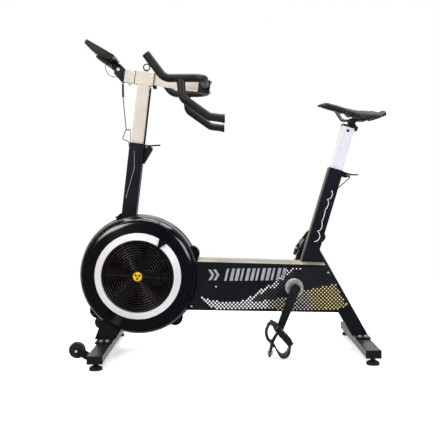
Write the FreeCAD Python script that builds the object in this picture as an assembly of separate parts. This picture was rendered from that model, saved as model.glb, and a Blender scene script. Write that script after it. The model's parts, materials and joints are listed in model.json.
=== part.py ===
import FreeCAD, Part
import math
import os

from FreeCAD import Vector

# An air bike: a steel frame with a belt-driven fan in a drum at the front, a fixed handlebar on a sliding
# carriage, a console, a crank with toe-clip pedals and a saddle. Millimetres and degrees.
# X runs to the rear, Y to the rider's right, Z up. The origin is on the floor, midway along and across.
# Outlines are (x, z) pairs in the side plane. Ring profiles are (radius, y) pairs for the left side, y < 0.
# A leaning part is drawn upright, x rearward and z up its own axis, and then leant back by its angle.

# ---- driving dimensions -------------------------------------------------------------------------------
FAN = Vector(-386, 0, 325)            # fan axle
CRANK = Vector(248, 0, 269)           # crank axle
FAN_SHELL_R = 238.5
FAN_WHEEL_R = 195.0
AXLE_R = 10.0                         # fan axle and crank axle
BEARING_R = 21.0
BEARING_WIDE = 12.0
RUNNING = 0.05                        # radial clearance of a turning fit
SNUG = 0.02                           # radial clearance of a fixed fit

POST_TOP = Vector(-388, 0, 865)       # top of the handlebar post's sleeve
POST_LEAN = 7.5
SEAT_TOP = Vector(429, 0, 749)        # top of the seat post's sleeve
SEAT_LEAN = 17.0
SLEEVE = 60.0                         # outside width of both sleeves and the rear leg
POST = 50.0                           # outside width of both posts
TUBE_WALL = 3.0
TUBE_CORNER = 5.0

CARRIAGE = Vector(-352.4, 0, 1129.6)  # middle of the collar on the handlebar post
CARRIAGE_LEAN = 98.5                  # the slider falls 8.5 degrees to the rear
SLIDER = 42.0
COLLAR_DEEP = 54.0
COLLAR_WIDE = 56.0
COLLAR_LONG = 74.0

BAR_R = 16.0                          # handlebar tube with its soft coat
BAR_HALF_SPAN = 235.0
BAR_Z = 1097.0
BAR_ABOVE = 4.0                       # crossbar above the slider's middle line
CLAMP_AT = 249.0                      # slider middle to handlebar crossbar, along the slider

BEAM_HALF = 60.0                      # half width across the beam covers
COVER_WALL = 3.0
FORK_IN, FORK_OUT = 50.0, 56.0        # fork plates, distance from the middle plane

BASE_X = 525.0                        # both stabilisers, ahead of and behind the middle
BASE_LOW, BASE_HIGH = 26.0, 58.0
FRONT_HALF, REAR_HALF = 330.0, 290.0
FLANGE_HIGH = 64.0
FRONT_FOOT_Y, REAR_FOOT_Y = 308.0, 274.0
FOOT_STEM_R = 6.0

CRANK_ARM = 175.0
ARM_IN, ARM_OUT = 98.0, 118.0
LEFT_CRANK_DOWN = 21.5                # left arm, degrees ahead of straight down
SPINDLE_R = 7.0
PEDAL_Y = 174.0
PEDAL_WIDE = 96.0
LEFT_PEDAL_TURN = -130.0              # from flat with the toes forward
RIGHT_PEDAL_TURN = 128.0

CRANK_PULLEY_R, FAN_PULLEY_R = 80.0, 20.0
BELT_IN, BELT_OUT = 33.0, 45.0        # belt lane, right of the middle plane
BELT_THICK = 3.0

CONSOLE_CORNER = Vector(-577, 0, 1279)  # front top corner of the console's face
CONSOLE_LEAN = 120.6
CONSOLE_PIVOT = Vector(-459, 0, 1166)
CONSOLE_HALF = 85.0

SADDLE_PIVOT = Vector(499, 0, 934)
RAIL_R, RAIL_Y, RAIL_Z = 3.5, 22.0, 948.0

WHEEL = Vector(-599, 280, 70)         # transport wheel, right side
WHEEL_R = 31.0
WHEEL_BOLT_R = 5.0

ORIGIN = Vector(0, 0, 0)
CROSSWISE = Vector(0, 1, 0)
FULL_TURN = 360.0
FAR = 1000.0                          # longer than anything it has to cut through


# ---- drawing helpers ----------------------------------------------------------------------------------
def polar(angle, radius, centre=FAN):
    """The point at this angle and radius about a crosswise line; 0 is rearward and 90 is up."""
    turn = math.radians(angle)
    return Vector(centre.x + radius * math.cos(turn), 0, centre.z + radius * math.sin(turn))


def prism(outline, low, high):
    """A flat-sided solid with this side outline, from y low to y high."""
    points = [Vector(x, low, z) for x, z in outline]
    face = Part.Face(Part.makePolygon(points + points[:1]))
    return face.extrude(Vector(0, high - low, 0))


def disc(centre, radius, low, high):
    """A round solid lying crosswise."""
    return Part.makeCylinder(radius, high - low, Vector(centre.x, low, centre.z), CROSSWISE)


def ring(centre, outer, inner, low, high):
    return disc(centre, outer, low, high).cut(disc(centre, inner, low - 1, high + 1))


def rod(start, end, radius):
    return Part.makeCylinder(radius, (end - start).Length, start, end - start)


def block(low, high):
    """A box between two corners."""
    size = high - low
    return Part.makeBox(size.x, size.y, size.z, low)


def joined(shapes):
    return shapes[0].multiFuse(shapes[1:]).removeSplitter()


def mirrored(shape):
    """The same piece on the other side of the bike."""
    return shape.mirror(ORIGIN, CROSSWISE)


def leant(shape, lean, foot):
    """Leans a shape that was drawn upright at the origin, and moves its foot into place."""
    shape.rotate(ORIGIN, CROSSWISE, lean)
    shape.translate(foot)
    return shape


def upright_bar(deep, wide, low, high, corner=0.0):
    """A bar up the Z axis, deep along X and wide along Y, with rounded long edges."""
    bar = block(Vector(-deep / 2, -wide / 2, low), Vector(deep / 2, wide / 2, high))
    if not corner:
        return bar
    long_edges = [e for e in bar.Edges if abs(e.Vertexes[0].Z - e.Vertexes[-1].Z) > 1]
    return bar.makeFillet(corner, long_edges)


def turned(profile, centre=FAN):
    """The ring swept by a closed profile of (radius, y) corners."""
    points = [Vector(centre.x + r, y, centre.z) for r, y in profile]
    face = Part.Face(Part.makePolygon(points + points[:1]))
    return face.revolve(Vector(centre.x, 0, centre.z), CROSSWISE, FULL_TURN)


def tangents(a, a_r, b, b_r):
    """Where the two outside tangents touch circle a and circle b: (a1, b1, b2, a2)."""
    along = math.atan2(b.z - a.z, b.x - a.x)
    spread = math.acos((a_r - b_r) / math.hypot(b.x - a.x, b.z - a.z))
    corners = []
    for centre, radius, side in ((a, a_r, 1), (b, b_r, 1), (b, b_r, -1), (a, a_r, -1)):
        turn = along + side * spread
        corners.append((centre.x + radius * math.cos(turn), centre.z + radius * math.sin(turn)))
    return corners


def link(a, a_r, b, b_r, low, high):
    """A flat bar with round ends about a and b."""
    ends = [disc(a, a_r, low, high), disc(b, b_r, low, high)]
    return joined(ends + [prism(tangents(a, a_r, b, b_r), low, high)])


def ribbon(points, thick):
    """The outline of a bent strip whose middle line runs through these (x, z) points."""
    left, right = [], []
    for i, (x, z) in enumerate(points):
        before = points[max(i - 1, 0)]
        after = points[min(i + 1, len(points) - 1)]
        run = math.hypot(after[0] - before[0], after[1] - before[1])
        nx, nz = -(after[1] - before[1]) / run, (after[0] - before[0]) / run
        left.append((x + nx * thick / 2, z + nz * thick / 2))
        right.append((x - nx * thick / 2, z - nz * thick / 2))
    return left + right[::-1]


def bent_rod(points, bend, radius):
    """A round bar along straight runs joined by bends of one radius."""
    edges = []
    start = points[0]
    for before, corner, after in zip(points, points[1:], points[2:]):
        into = (corner - before).normalize()
        out = (after - corner).normalize()
        half = into.getAngle(out) / 2
        first = corner - into * (bend * math.tan(half))
        last = corner + out * (bend * math.tan(half))
        inward = (out - into).normalize()
        middle = corner + inward * (bend / math.cos(half) - bend)
        edges.append(Part.makeLine(start, first))
        edges.append(Part.Arc(first, middle, last).toShape())
        start = last
    edges.append(Part.makeLine(start, points[-1]))
    profile = Part.Wire(Part.Circle(points[0], points[1] - points[0], radius).toShape())
    return Part.Wire(edges).makePipeShell([profile], True, False)


def hexagon(centre, across, low, high):
    """A hexagonal nut or head lying crosswise."""
    corners = [polar(60 * k, across / math.sqrt(3), centre) for k in range(6)]
    return prism([(p.x, p.z) for p in corners], low, high)


def inset(outline, distance):
    """A convex clockwise outline moved inward by distance; outward if it is negative."""
    lines = []
    for (x0, z0), (x1, z1) in zip(outline, outline[1:] + outline[:1]):
        run = math.hypot(x1 - x0, z1 - z0)
        nx, nz = (z1 - z0) / run, -(x1 - x0) / run
        lines.append((nx, nz, nx * x0 + nz * z0 + distance))
    corners = []
    for (a, b, c), (d, e, f) in zip([lines[-1]] + lines[:-1], lines):
        scale = a * e - b * d
        corners.append(((c * e - b * f) / scale, (a * f - c * d) / scale))
    return corners


# ---- outlines shared by several pieces ------------------------------------------------------------------
# Side outline of the beam covers, clockwise; the front end runs on inside the fan housing.
BEAM = [(-215, 381), (380, 357), (472, 187), (427, 162), (-215, 180)]
FRONT_LEG = [(-573, 62), (-520, 200), (-500, 230), (-420, 170), (-437, 141), (-487, 62)]
REAR_LEG_TOP = Vector(334, 0, 402)
REAR_LEG_LEAN = 151.0
REAR_LEG_LONG = 400.0
FORK_HUB_R = 34.0
FORK_CLEAR_R = 206.0                  # the front leg stops short of the fan wheel
SLEEVE_BOTTOM = 340.0                 # handlebar sleeve, below its top
SEAT_SLEEVE_LONG = 447.0
STRIP_WIDE, STRIP_PROUD = 14.0, 6.0   # guide strip on the back of the handlebar post
STRIP_SLOT = 18.0


def seat_sleeve_block(half, low, high):
    return leant(upright_bar(2 * half, 2 * half, low, high, TUBE_CORNER), SEAT_LEAN, SEAT_TOP)


def post_sleeve_block(half, low, high):
    return leant(upright_bar(2 * half, 2 * half, low, high, TUBE_CORNER), POST_LEAN, POST_TOP)


def rear_leg_block(half):
    return leant(upright_bar(2 * half, 2 * half, 0, REAR_LEG_LONG, TUBE_CORNER), REAR_LEG_LEAN, REAR_LEG_TOP)


# ---- main frame ---------------------------------------------------------------------------------------
LEVER_Z = -9.0                        # lever pivots, below the sleeve tops
POST_LEVER_X, SEAT_LEVER_X = 40.0, 53.0
LEVER_PIN_R = 4.0
EAR_IN, EAR_OUT = 9.0, 14.0
FRONT_BOLT_Y, REAR_BOLT_Y, BOLT_STEP = 108.0, 76.0, 12.0
BOLT_HOLE_R = 4.3
POST_EAR = [(28, -1), (48, -1), (64, -12), (64, -20), (37, -80), (28, -80)]
SEAT_EAR = [(28, -1), (60, -1), (62, -14), (50, -22), (28, -22)]


def plate_arm(start, end, width, y_in, y_out):
    """A straight arm cut from plate, centred on the line from start to end."""
    run = (end - start).normalize()
    side = Vector(-run.z, 0, run.x) * (width / 2)
    corners = [start + side, end + side, end - side, start - side]
    return prism([(c.x, c.z) for c in corners], y_in, y_out)


def fork_plate():
    """The right plate of the fork around the fan: a hub and arms to the beam, the post and the front leg."""
    arm_wide = 56.0
    ends = [Vector(-104, 0, 278), Vector(-432, 0, 542), polar(232, 226)]
    arms = [plate_arm(FAN, end, arm_wide, FORK_IN, FORK_OUT) for end in ends]
    return joined([disc(FAN, FORK_HUB_R, FORK_IN, FORK_OUT)] + arms)


def spine():
    """The box-section beam from the fork to the rear leg, with its spacers out to the fork plates."""
    deep, wall = 110.0, 4.0
    start, lean, length = Vector(-150, 0, 278.5), 91.95, 545.0
    outer = leant(upright_bar(deep, SLEEVE, 0, length, TUBE_CORNER), lean, start)
    inner = leant(upright_bar(deep - 2 * wall, SLEEVE - 2 * wall, -1, length + 1), lean, start)
    spacer = block(Vector(-150, -FORK_IN, 267), Vector(-106, FORK_IN, 334))
    return outer.cut(inner), spacer


def front_leg():
    """The tapered box leg that the fork plates and the front stabiliser's flange are welded to."""
    outer = prism(FRONT_LEG, -FORK_OUT, FORK_OUT)
    inner = prism(inset(FRONT_LEG, TUBE_WALL), -FORK_IN, FORK_IN)
    return outer.cut(inner).cut(disc(FAN, FORK_CLEAR_R, -FAR, FAR))


def flange(x, half_long, half_wide, bolt_y):
    """The plate that a leg is bolted to its stabiliser by."""
    plate = block(Vector(x - half_long, -half_wide, BASE_HIGH), Vector(x + half_long, half_wide, FLANGE_HIGH))
    for bolt_x in (x - BOLT_STEP, x + BOLT_STEP):
        for y in (-bolt_y, bolt_y):
            foot_of_hole = Vector(bolt_x, y, BASE_HIGH - 1)
            plate = plate.cut(rod(foot_of_hole, Vector(bolt_x, y, FLANGE_HIGH + 1), BOLT_HOLE_R))
    return plate


def lever_ears(outline, pivot_x, lean, foot):
    """Two ears behind a sleeve with the hole for the lock lever's pin."""
    hole = disc(Vector(pivot_x, 0, LEVER_Z), LEVER_PIN_R + SNUG, -FAR, FAR)
    ears = [prism(outline, EAR_IN, EAR_OUT).cut(hole), prism(outline, -EAR_OUT, -EAR_IN).cut(hole)]
    return [leant(ear, lean, foot) for ear in ears]


def main_frame():
    beam, spacer = spine()
    half = SLEEVE / 2
    steel = [beam, spacer, front_leg(), rear_leg_block(half), fork_plate(), mirrored(fork_plate())]
    steel.append(seat_sleeve_block(half, -SEAT_SLEEVE_LONG, 0))
    steel.append(post_sleeve_block(half, -SLEEVE_BOTTOM, 0))
    steel.append(leant(block(Vector(-20, -FORK_IN, -338), Vector(20, FORK_IN, -322)), POST_LEAN, POST_TOP))
    steel.append(disc(CRANK, BEARING_R + 6, -FORK_OUT, half))
    steel.append(flange(-BASE_X, 35, 130, FRONT_BOLT_Y))
    steel.append(flange(BASE_X, 30, 95, REAR_BOLT_Y))
    steel += lever_ears(POST_EAR, POST_LEVER_X, POST_LEAN, POST_TOP)
    steel += lever_ears(SEAT_EAR, SEAT_LEVER_X, SEAT_LEAN, SEAT_TOP)
    frame = joined(steel)
    bore = half - TUBE_WALL
    frame = frame.cut(seat_sleeve_block(bore, TUBE_WALL - SEAT_SLEEVE_LONG, 1))
    frame = frame.cut(post_sleeve_block(bore, TUBE_WALL - SLEEVE_BOTTOM, 1))
    frame = frame.cut(leant(upright_bar(2 * bore, 2 * bore, 150, REAR_LEG_LONG), REAR_LEG_LEAN, REAR_LEG_TOP))
    frame = frame.cut(guide_slot(half - 10, half + 2))
    frame = frame.cut(disc(CRANK, BEARING_R + SNUG, -FAR, FAR))
    frame = frame.cut(disc(FAN, AXLE_R + SNUG, -FAR, FAR))
    return frame.cut(block(Vector(-FAR, -FAR, 0), Vector(FAR, FAR, BASE_HIGH)))


def guide_slot(low_x, high_x):
    """The slot down the back of the handlebar sleeve that the guide strip runs in."""
    slot = block(Vector(low_x, -STRIP_SLOT / 2, -SLEEVE_BOTTOM + 30), Vector(high_x, STRIP_SLOT / 2, 1))
    return leant(slot, POST_LEAN, POST_TOP)


def sleeve_liners():
    """Plastic liners that guide the two posts, one in the top of each sleeve."""
    outer = SLEEVE / 2 - TUBE_WALL - 0.1
    inner = POST / 2 + 0.15
    post_liner = post_sleeve_block(outer, -115, -0.5).cut(post_sleeve_block(inner, -FAR, FAR))
    seat_liner = seat_sleeve_block(outer, -115, -0.5).cut(seat_sleeve_block(inner, -FAR, FAR))
    return [post_liner.cut(guide_slot(0, outer + 2)), seat_liner]


# ---- base ---------------------------------------------------------------------------------------------
def stabiliser(x, half_long, foot_y, bolt_y):
    """A cross tube under the frame, with holes for the flange bolts and the two feet."""
    half = SLEEVE / 2
    wall = 2.5
    outer = block(Vector(x - half, -half_long, BASE_LOW), Vector(x + half, half_long, BASE_HIGH))
    long_edges = [e for e in outer.Edges if e.Length > half_long]
    outer = outer.makeFillet(TUBE_CORNER, long_edges)
    low, high = BASE_LOW + wall, BASE_HIGH - wall
    inner = block(Vector(x - half + wall, -FAR, low), Vector(x + half - wall, FAR, high))
    tube = outer.cut(inner)
    for y in (-foot_y, foot_y):
        tube = tube.cut(rod(Vector(x, y, 0), Vector(x, y, BASE_LOW + 5), FOOT_STEM_R + SNUG))
    for bolt_x in (x - BOLT_STEP, x + BOLT_STEP):
        for y in (-bolt_y, bolt_y):
            foot_of_hole = Vector(bolt_x, y, BASE_HIGH - 5)
            tube = tube.cut(rod(foot_of_hole, Vector(bolt_x, y, BASE_HIGH + 1), BOLT_HOLE_R))
    return tube


def foot(x, y):
    """A levelling foot: a round pad, a step and a threaded stem."""
    steps = [(25.0, 0.0, 9.0), (20.0, 9.0, 13.0), (10.0, 13.0, 20.0), (FOOT_STEM_R, 20.0, 44.0)]
    return joined([rod(Vector(x, y, low), Vector(x, y, high), r) for r, low, high in steps])


def levelling_feet():
    places = [(-BASE_X, FRONT_FOOT_Y), (BASE_X, REAR_FOOT_Y)]
    return [foot(x, side * y) for x, y in places for side in (-1, 1)]


def end_cap(x, half_long, side):
    """A moulded cap: a face over the tube's end and a plug inside it."""
    half = SLEEVE / 2
    depth, plug, gap = 4.0, 6.0, 3.0
    face = block(Vector(x - half, half_long, BASE_LOW), Vector(x + half, half_long + depth, BASE_HIGH))
    face = face.makeFillet(2.0, [e for e in face.Edges if e.Vertexes[0].Y > half_long + 1 < e.Vertexes[-1].Y])
    inner = block(Vector(x - half + gap, half_long - plug, BASE_LOW + gap),
                  Vector(x + half - gap, half_long + 1, BASE_HIGH - gap))
    cap = joined([face, inner])
    return cap if side > 0 else mirrored(cap)


def end_caps():
    ends = [(-BASE_X, FRONT_HALF), (BASE_X, REAR_HALF)]
    return [end_cap(x, half_long, side) for x, half_long in ends for side in (-1, 1)]


def flange_bolt(x, y):
    """A hexagon bolt from the flange into the stabiliser."""
    head_r, head_high, reach = 7.0, 5.5, 16.0
    turns = [k * math.pi / 3 for k in range(6)]
    corners = [Vector(x + head_r * math.cos(a), y + head_r * math.sin(a), FLANGE_HIGH) for a in turns]
    head = Part.Face(Part.makePolygon(corners + corners[:1])).extrude(Vector(0, 0, head_high))
    shank = rod(Vector(x, y, FLANGE_HIGH - reach), Vector(x, y, FLANGE_HIGH + 1), 4.0)
    return joined([head, shank])


def flange_bolts():
    rows = [(-BASE_X, FRONT_BOLT_Y), (BASE_X, REAR_BOLT_Y)]
    steps = (-BOLT_STEP, BOLT_STEP)
    return [flange_bolt(x + step, side * y) for x, y in rows for step in steps for side in (-1, 1)]


def wheel_bracket():
    """The right transport wheel's U bracket, on the front of the stabiliser."""
    inner, outer = 15.0, 18.5
    back = -BASE_X - SLEEVE / 2
    root = Vector(back - 6, 0, 46)
    ears = []
    for low, high in ((-outer, -inner), (inner, outer)):
        ears.append(link(root, 10, WHEEL, 11, WHEEL.y + low, WHEEL.y + high))
    base = block(Vector(back - 4, WHEEL.y - outer, 34), Vector(back, WHEEL.y + outer, 56))
    bracket = joined(ears + [base])
    bracket = bracket.cut(block(Vector(back, 0, 0), Vector(back + 50, FAR, FAR)))
    return bracket.cut(disc(WHEEL, WHEEL_BOLT_R + SNUG, 0, FAR))


def wheel_bolt():
    inner, head = 19.0, 6.0
    shank = disc(WHEEL, WHEEL_BOLT_R, WHEEL.y - inner, WHEEL.y + inner)
    ends = ((-inner - head, -inner), (inner, inner + head))
    heads = [disc(WHEEL, 9.0, WHEEL.y + low, WHEEL.y + high) for low, high in ends]
    return joined([shank] + heads)


def wheel_brackets():
    right = [wheel_bracket(), wheel_bolt()]
    return right + [mirrored(piece) for piece in right]


def transport_wheel(side):
    """A tyre with a rounded tread on a stepped hub."""
    half, bore = 12.0, WHEEL_BOLT_R + RUNNING
    profile = [(bore, -14), (12, -14), (14, -8), (22, -8), (25, -half), (29, -half + 1), (WHEEL_R, -half + 5),
               (WHEEL_R, half - 5), (29, half - 1), (25, half), (22, 8), (14, 8), (12, 14), (bore, 14)]
    shifted = [(r, y + WHEEL.y) for r, y in profile]
    wheel = turned(shifted, WHEEL)
    return wheel if side > 0 else mirrored(wheel)


# ---- covers -------------------------------------------------------------------------------------------
COVER_SCREWS = [(-172, 195), (-71, 275), (388, 327), (462, 198), (379, 181)]
LUG_ANGLES = (21, 105, 220, 308)
LUG_SCREW_ANGLES = (21, 111, 220, 308)  # the top screw stands clear of the post's sleeve
LUG_AT, LUG_R, LUG_HALF = 231.0, 33.0, 24.0
LUG_SCREW_AT = 254.0
SCREW_R, SCREW_HEAD_R, SCREW_HEAD = 2.4, 4.6, 2.5
LUG_SCREW_END = 16.0


def left_beam_cover():
    """A tray over the left of the beam, with its rim folded in to the middle plane."""
    tray = prism(BEAM, -BEAM_HALF, -0.2)
    outer_edges = [e for e in tray.Edges if all(abs(v.Y + BEAM_HALF) < 1 for v in e.Vertexes)]
    tray = tray.makeFillet(2.5, outer_edges)
    tray = tray.cut(prism(inset(BEAM, COVER_WALL), COVER_WALL - BEAM_HALF, 1))
    tray = tray.cut(disc(FAN, FAN_SHELL_R - 16, -FAR, FAR))
    tray = tray.cut(seat_sleeve_block(SLEEVE / 2 + 0.5, -FAR, FAR))
    tray = tray.cut(rear_leg_block(SLEEVE / 2 + 0.5))
    tray = tray.cut(disc(CRANK, 24, -FAR, 0))
    for x, z in COVER_SCREWS:
        tray = tray.cut(disc(Vector(x, 0, z), SCREW_R + 0.1, -FAR, 0))
    return tray


def dome(half, rise, low, high):
    """A bar along Z with a shallow arched top facing -X."""
    ends = [Vector(0, -half, low), Vector(-rise, 0, low), Vector(0, half, low)]
    face = Part.Face(Part.Wire([Part.Arc(*ends).toShape(), Part.makeLine(ends[2], ends[0])]))
    return face.extrude(Vector(0, 0, high - low))


def beam_top_cover():
    """The arched cap along the top of the beam, open around the seat sleeve."""
    (x0, z0), (x1, z1) = BEAM[:2]
    lean = 90 + math.degrees(math.atan2(z0 - z1, x1 - x0))
    length = math.hypot(x1 - x0, z1 - z0)
    half, rise, wall = 57.0, 12.0, 2.5
    cap = dome(half, rise, 0, length - 4).cut(dome(half - 3 * wall, rise - wall, -1, length - 6))
    cap = leant(cap, lean, Vector(x0, 0, z0 + 0.3))
    cap = cap.cut(disc(FAN, FAN_SHELL_R + 9.5, -FAR, FAR))
    cap = cap.cut(disc(polar(LUG_ANGLES[0], LUG_AT), LUG_R + 1, -FAR, FAR))
    return cap.cut(seat_sleeve_block(SLEEVE / 2 + 0.5, -FAR, FAR)).cut(rear_leg_block(SLEEVE / 2 + 0.5))


def shell_wall():
    """The left half of the drum, from the parting plane to the lip under the trim ring."""
    def point(radius, y):
        return Vector(FAN.x + radius, y, FAN.z)
    rim = FAN_SHELL_R
    line = Part.makeLine
    edges = [
        line(point(rim + 8.5, -0.2), point(rim + 8.5, -11)),
        line(point(rim + 8.5, -11), point(rim + 6, -14)),
        line(point(rim + 6, -14), point(rim + 2, -45)),
        Part.Arc(point(rim + 2, -45), point(rim - 6, -72), point(207, -88)).toShape(),
        line(point(207, -88), point(176, -94.5)),
        line(point(176, -94.5), point(150, -94.5)),
        line(point(150, -94.5), point(150, -91.5)),
        line(point(150, -91.5), point(176, -91.5)),
        line(point(176, -91.5), point(206, -85.2)),
        Part.Arc(point(206, -85.2), point(rim - 9, -70), point(rim - 1, -45)).toShape(),
        line(point(rim - 1, -45), point(rim + 3, -0.2)),
        line(point(rim + 3, -0.2), point(rim + 8.5, -0.2)),
    ]
    face = Part.Face(Part.Wire(edges))
    return face.revolve(FAN, CROSSWISE, FULL_TURN)


def left_fan_shell():
    lugs = [disc(polar(a, LUG_AT), LUG_R, -LUG_HALF, -0.2) for a in LUG_ANGLES]
    hollow = disc(FAN, FAN_SHELL_R - 2, -FAR, FAR)
    shell = joined([shell_wall()] + [lug.cut(hollow) for lug in lugs])
    shell = shell.cut(prism(inset(BEAM, -1), -BEAM_HALF - 1, 1))
    shell = shell.cut(post_sleeve_block(SLEEVE / 2 + 1, -FAR, FAR))
    shell = shell.cut(prism(inset(FRONT_LEG, -1), -FORK_OUT - 1, 1))
    for angle in LUG_SCREW_ANGLES:
        shell = shell.cut(disc(polar(angle, LUG_SCREW_AT), SCREW_R + 0.1, -FAR, 0))
    return shell


def right_fan_shell():
    """The other half drum; its lugs are drilled only as deep as the screws go."""
    return mirrored(left_fan_shell())


def screw(x, z, head, tip):
    """A pan-head screw lying crosswise, its head's underside at y head and its end at y tip."""
    outward = -1 if head < tip else 1
    centre = Vector(x, 0, z)
    top = head + outward * SCREW_HEAD
    cap = disc(centre, SCREW_HEAD_R, min(head, top), max(head, top))
    shank = disc(centre, SCREW_R, min(head, tip), max(head, tip))
    return joined([cap, shank])


def cover_screws():
    reach = 8.0
    screws = []
    for x, z in COVER_SCREWS:
        screws.append(screw(x, z, -BEAM_HALF, reach - BEAM_HALF))
        screws.append(screw(x, z, BEAM_HALF, BEAM_HALF - reach))
    for angle in LUG_SCREW_ANGLES:
        at = polar(angle, LUG_SCREW_AT)
        screws.append(screw(at.x, at.z, -LUG_HALF, LUG_SCREW_END))
    return screws


# ---- fan ----------------------------------------------------------------------------------------------
TRIM_OUT, TRIM_IN = 175.0, 151.0
TRIM_LOW, TRIM_HIGH = -94.6, -113.5
TRIM_BORE = 147.5
WIRE_R = 1.5
GRILLE_Y = -98.0
GRILLE_HUB_R = 22.0
GRILLE_RINGS = 12
GRILLE_STEP = 10.4
GRILLE_WIRES = (-4, 116)              # angles of the two straight wires
SHUTTER_BOSS_R = 12.0
SHUTTER_Y = (-87.0, -84.0)
DAMPER_ANGLE = 53.5


def left_trim_ring():
    """The pale conical ring around the grille, a folded section with a deep inner wall."""
    wall = 2.5
    profile = [(TRIM_OUT, TRIM_LOW), (TRIM_IN, TRIM_HIGH), (TRIM_BORE, TRIM_HIGH), (TRIM_BORE, TRIM_LOW),
               (TRIM_BORE + wall, TRIM_LOW), (TRIM_BORE + wall, TRIM_HIGH + wall), (TRIM_OUT - 4.5, TRIM_LOW)]
    return turned(profile)


def left_grille():
    """Concentric wires welded to two straight wires and a hub plate; the damper shutter turns on its boss."""
    lane = GRILLE_Y - 1.6 * WIRE_R
    centre = Vector(FAN.x, GRILLE_Y, FAN.z)
    radii = [GRILLE_HUB_R + GRILLE_STEP * (k + 0.4) for k in range(GRILLE_RINGS)]
    wires = [Part.makeTorus(radius, WIRE_R, centre, CROSSWISE) for radius in radii]
    for angle in GRILLE_WIRES:
        start = polar(angle, TRIM_BORE - 0.1)
        end = polar(angle + 180, TRIM_BORE - 0.1)
        wires.append(rod(Vector(start.x, lane, start.z), Vector(end.x, lane, end.z), WIRE_R))
    hub = disc(FAN, GRILLE_HUB_R, GRILLE_Y - 4, GRILLE_Y + 2)
    boss = disc(FAN, SHUTTER_BOSS_R, GRILLE_Y, SHUTTER_Y[1] + 3)
    return joined([hub, boss] + wires)


def left_badge():
    """A round cap on the grille's hub plate."""
    face = GRILLE_Y - 4
    profile = [(0, face), (18.5, face), (18.5, face - 2), (17, face - 3.5), (0, face - 3.5)]
    return turned(profile)


def sector(inner, outer, start, sweep, low, high):
    """Part of a flat ring, sweeping through an angle, as seen from the left."""
    steps = 6
    angles = [start + sweep * k / steps for k in range(steps + 1)]
    points = [polar(a, outer) for a in angles] + [polar(a, inner) for a in reversed(angles)]
    return prism([(p.x, p.z) for p in points], low, high)


def damper_shutter():
    """A disc with six windows that turns behind the left grille to open or close the air inlet."""
    plate = disc(FAN, TRIM_BORE - 1.5, *SHUTTER_Y)
    plate = plate.cut(disc(FAN, SHUTTER_BOSS_R + RUNNING, -FAR, 0))
    for k in range(6):
        plate = plate.cut(sector(40, 126, 60 * k + 8, 34, SHUTTER_Y[0] - 1, SHUTTER_Y[1] + 1))
    return plate


def damper_lever():
    """A pointer over the trim ring; its stem drops through the gap inside the ring to the shutter."""
    skin = [(TRIM_BORE - 3.9, -118.5), (152, -118.5), (179, -99.8), (206, -95.2), (218, -92),
            (218, -89.2), (206, -91.4), (178, -96.4), (151.6, -115.2), (TRIM_BORE - 3.9, -115.2)]
    tip = polar(DAMPER_ANGLE, TRIM_BORE - 4)
    shoulders = [polar(DAMPER_ANGLE + side * 5.5, 176) for side in (1, -1)]
    tails = [polar(DAMPER_ANGLE + side * 3.2, 219) for side in (-1, 1)]
    nose = [polar(DAMPER_ANGLE + side * 1.6, TRIM_BORE - 4) for side in (-1, 1)]
    outline = [nose[1], shoulders[0], tails[1], tails[0], shoulders[1], nose[0]]
    pointer = turned(skin).common(prism([(p.x, p.z) for p in outline], -FAR, 0))
    stem = sector(TRIM_BORE - 3.9, TRIM_BORE - 1.2, DAMPER_ANGLE - 1.5, 3, -118, SHUTTER_Y[0])
    return joined([pointer, stem])


def fan_wheel():
    """A centrifugal fan: a back disc, a front ring, radial blades and a hub bored for two bearings."""
    blades, thick = 24, 2.0
    low, high = -44.0, 24.0
    disc_thick = 2.5
    hub = disc(FAN, BEARING_R + 6, low, high)
    back = disc(FAN, FAN_WHEEL_R, high - disc_thick, high)
    front = ring(FAN, FAN_WHEEL_R, 150, low, low + disc_thick)
    solid = joined([hub, back, front])
    vanes = []
    for k in range(blades):
        vane = block(Vector(90, low + 1, -thick / 2), Vector(FAN_WHEEL_R - 2, high - 1, thick / 2))
        vane.rotate(ORIGIN, CROSSWISE, FULL_TURN * k / blades)
        vane.translate(FAN)
        vanes.append(vane)
    solid = joined([solid] + vanes)
    return solid.cut(disc(FAN, BEARING_R + RUNNING, -FAR, FAR))


def pulley(centre, radius, hub_low, hub_high, bore):
    """A flanged belt pulley with its hub, bored for a shaft."""
    flange_r, rim = radius + 4, 2.0
    wheel = [disc(centre, radius, BELT_IN - 1, BELT_OUT + 1), disc(centre, bore + 6, hub_low, hub_high)]
    wheel.append(disc(centre, flange_r, BELT_IN - rim, BELT_IN))
    wheel.append(disc(centre, flange_r, BELT_OUT, BELT_OUT + rim))
    return joined(wheel).cut(disc(centre, bore, -FAR, FAR))


def fan_pulley():
    """Bolted to the fan's hub; it clears the fixed axle."""
    return pulley(FAN, FAN_PULLEY_R, 24.0, 48.0, AXLE_R + 0.6)


def crank_pulley():
    """Pressed on the crank axle, with lightening holes."""
    wheel = pulley(CRANK, CRANK_PULLEY_R, BELT_IN - 2.0, BELT_OUT + 8, AXLE_R + SNUG)
    for k in range(6):
        wheel = wheel.cut(disc(polar(60 * k + 10, 50, CRANK), 14, 0, FAR))
    return wheel


def belt_loop(extra, low, high):
    return link(CRANK, CRANK_PULLEY_R + extra, FAN, FAN_PULLEY_R + extra, low, high)


def drive_belt():
    """The belt, standing clear of both pulleys by a running gap."""
    gap = 0.2
    outer = belt_loop(RUNNING + BELT_THICK, BELT_IN + gap, BELT_OUT - gap)
    return outer.cut(belt_loop(RUNNING, 0, FAR))


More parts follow.
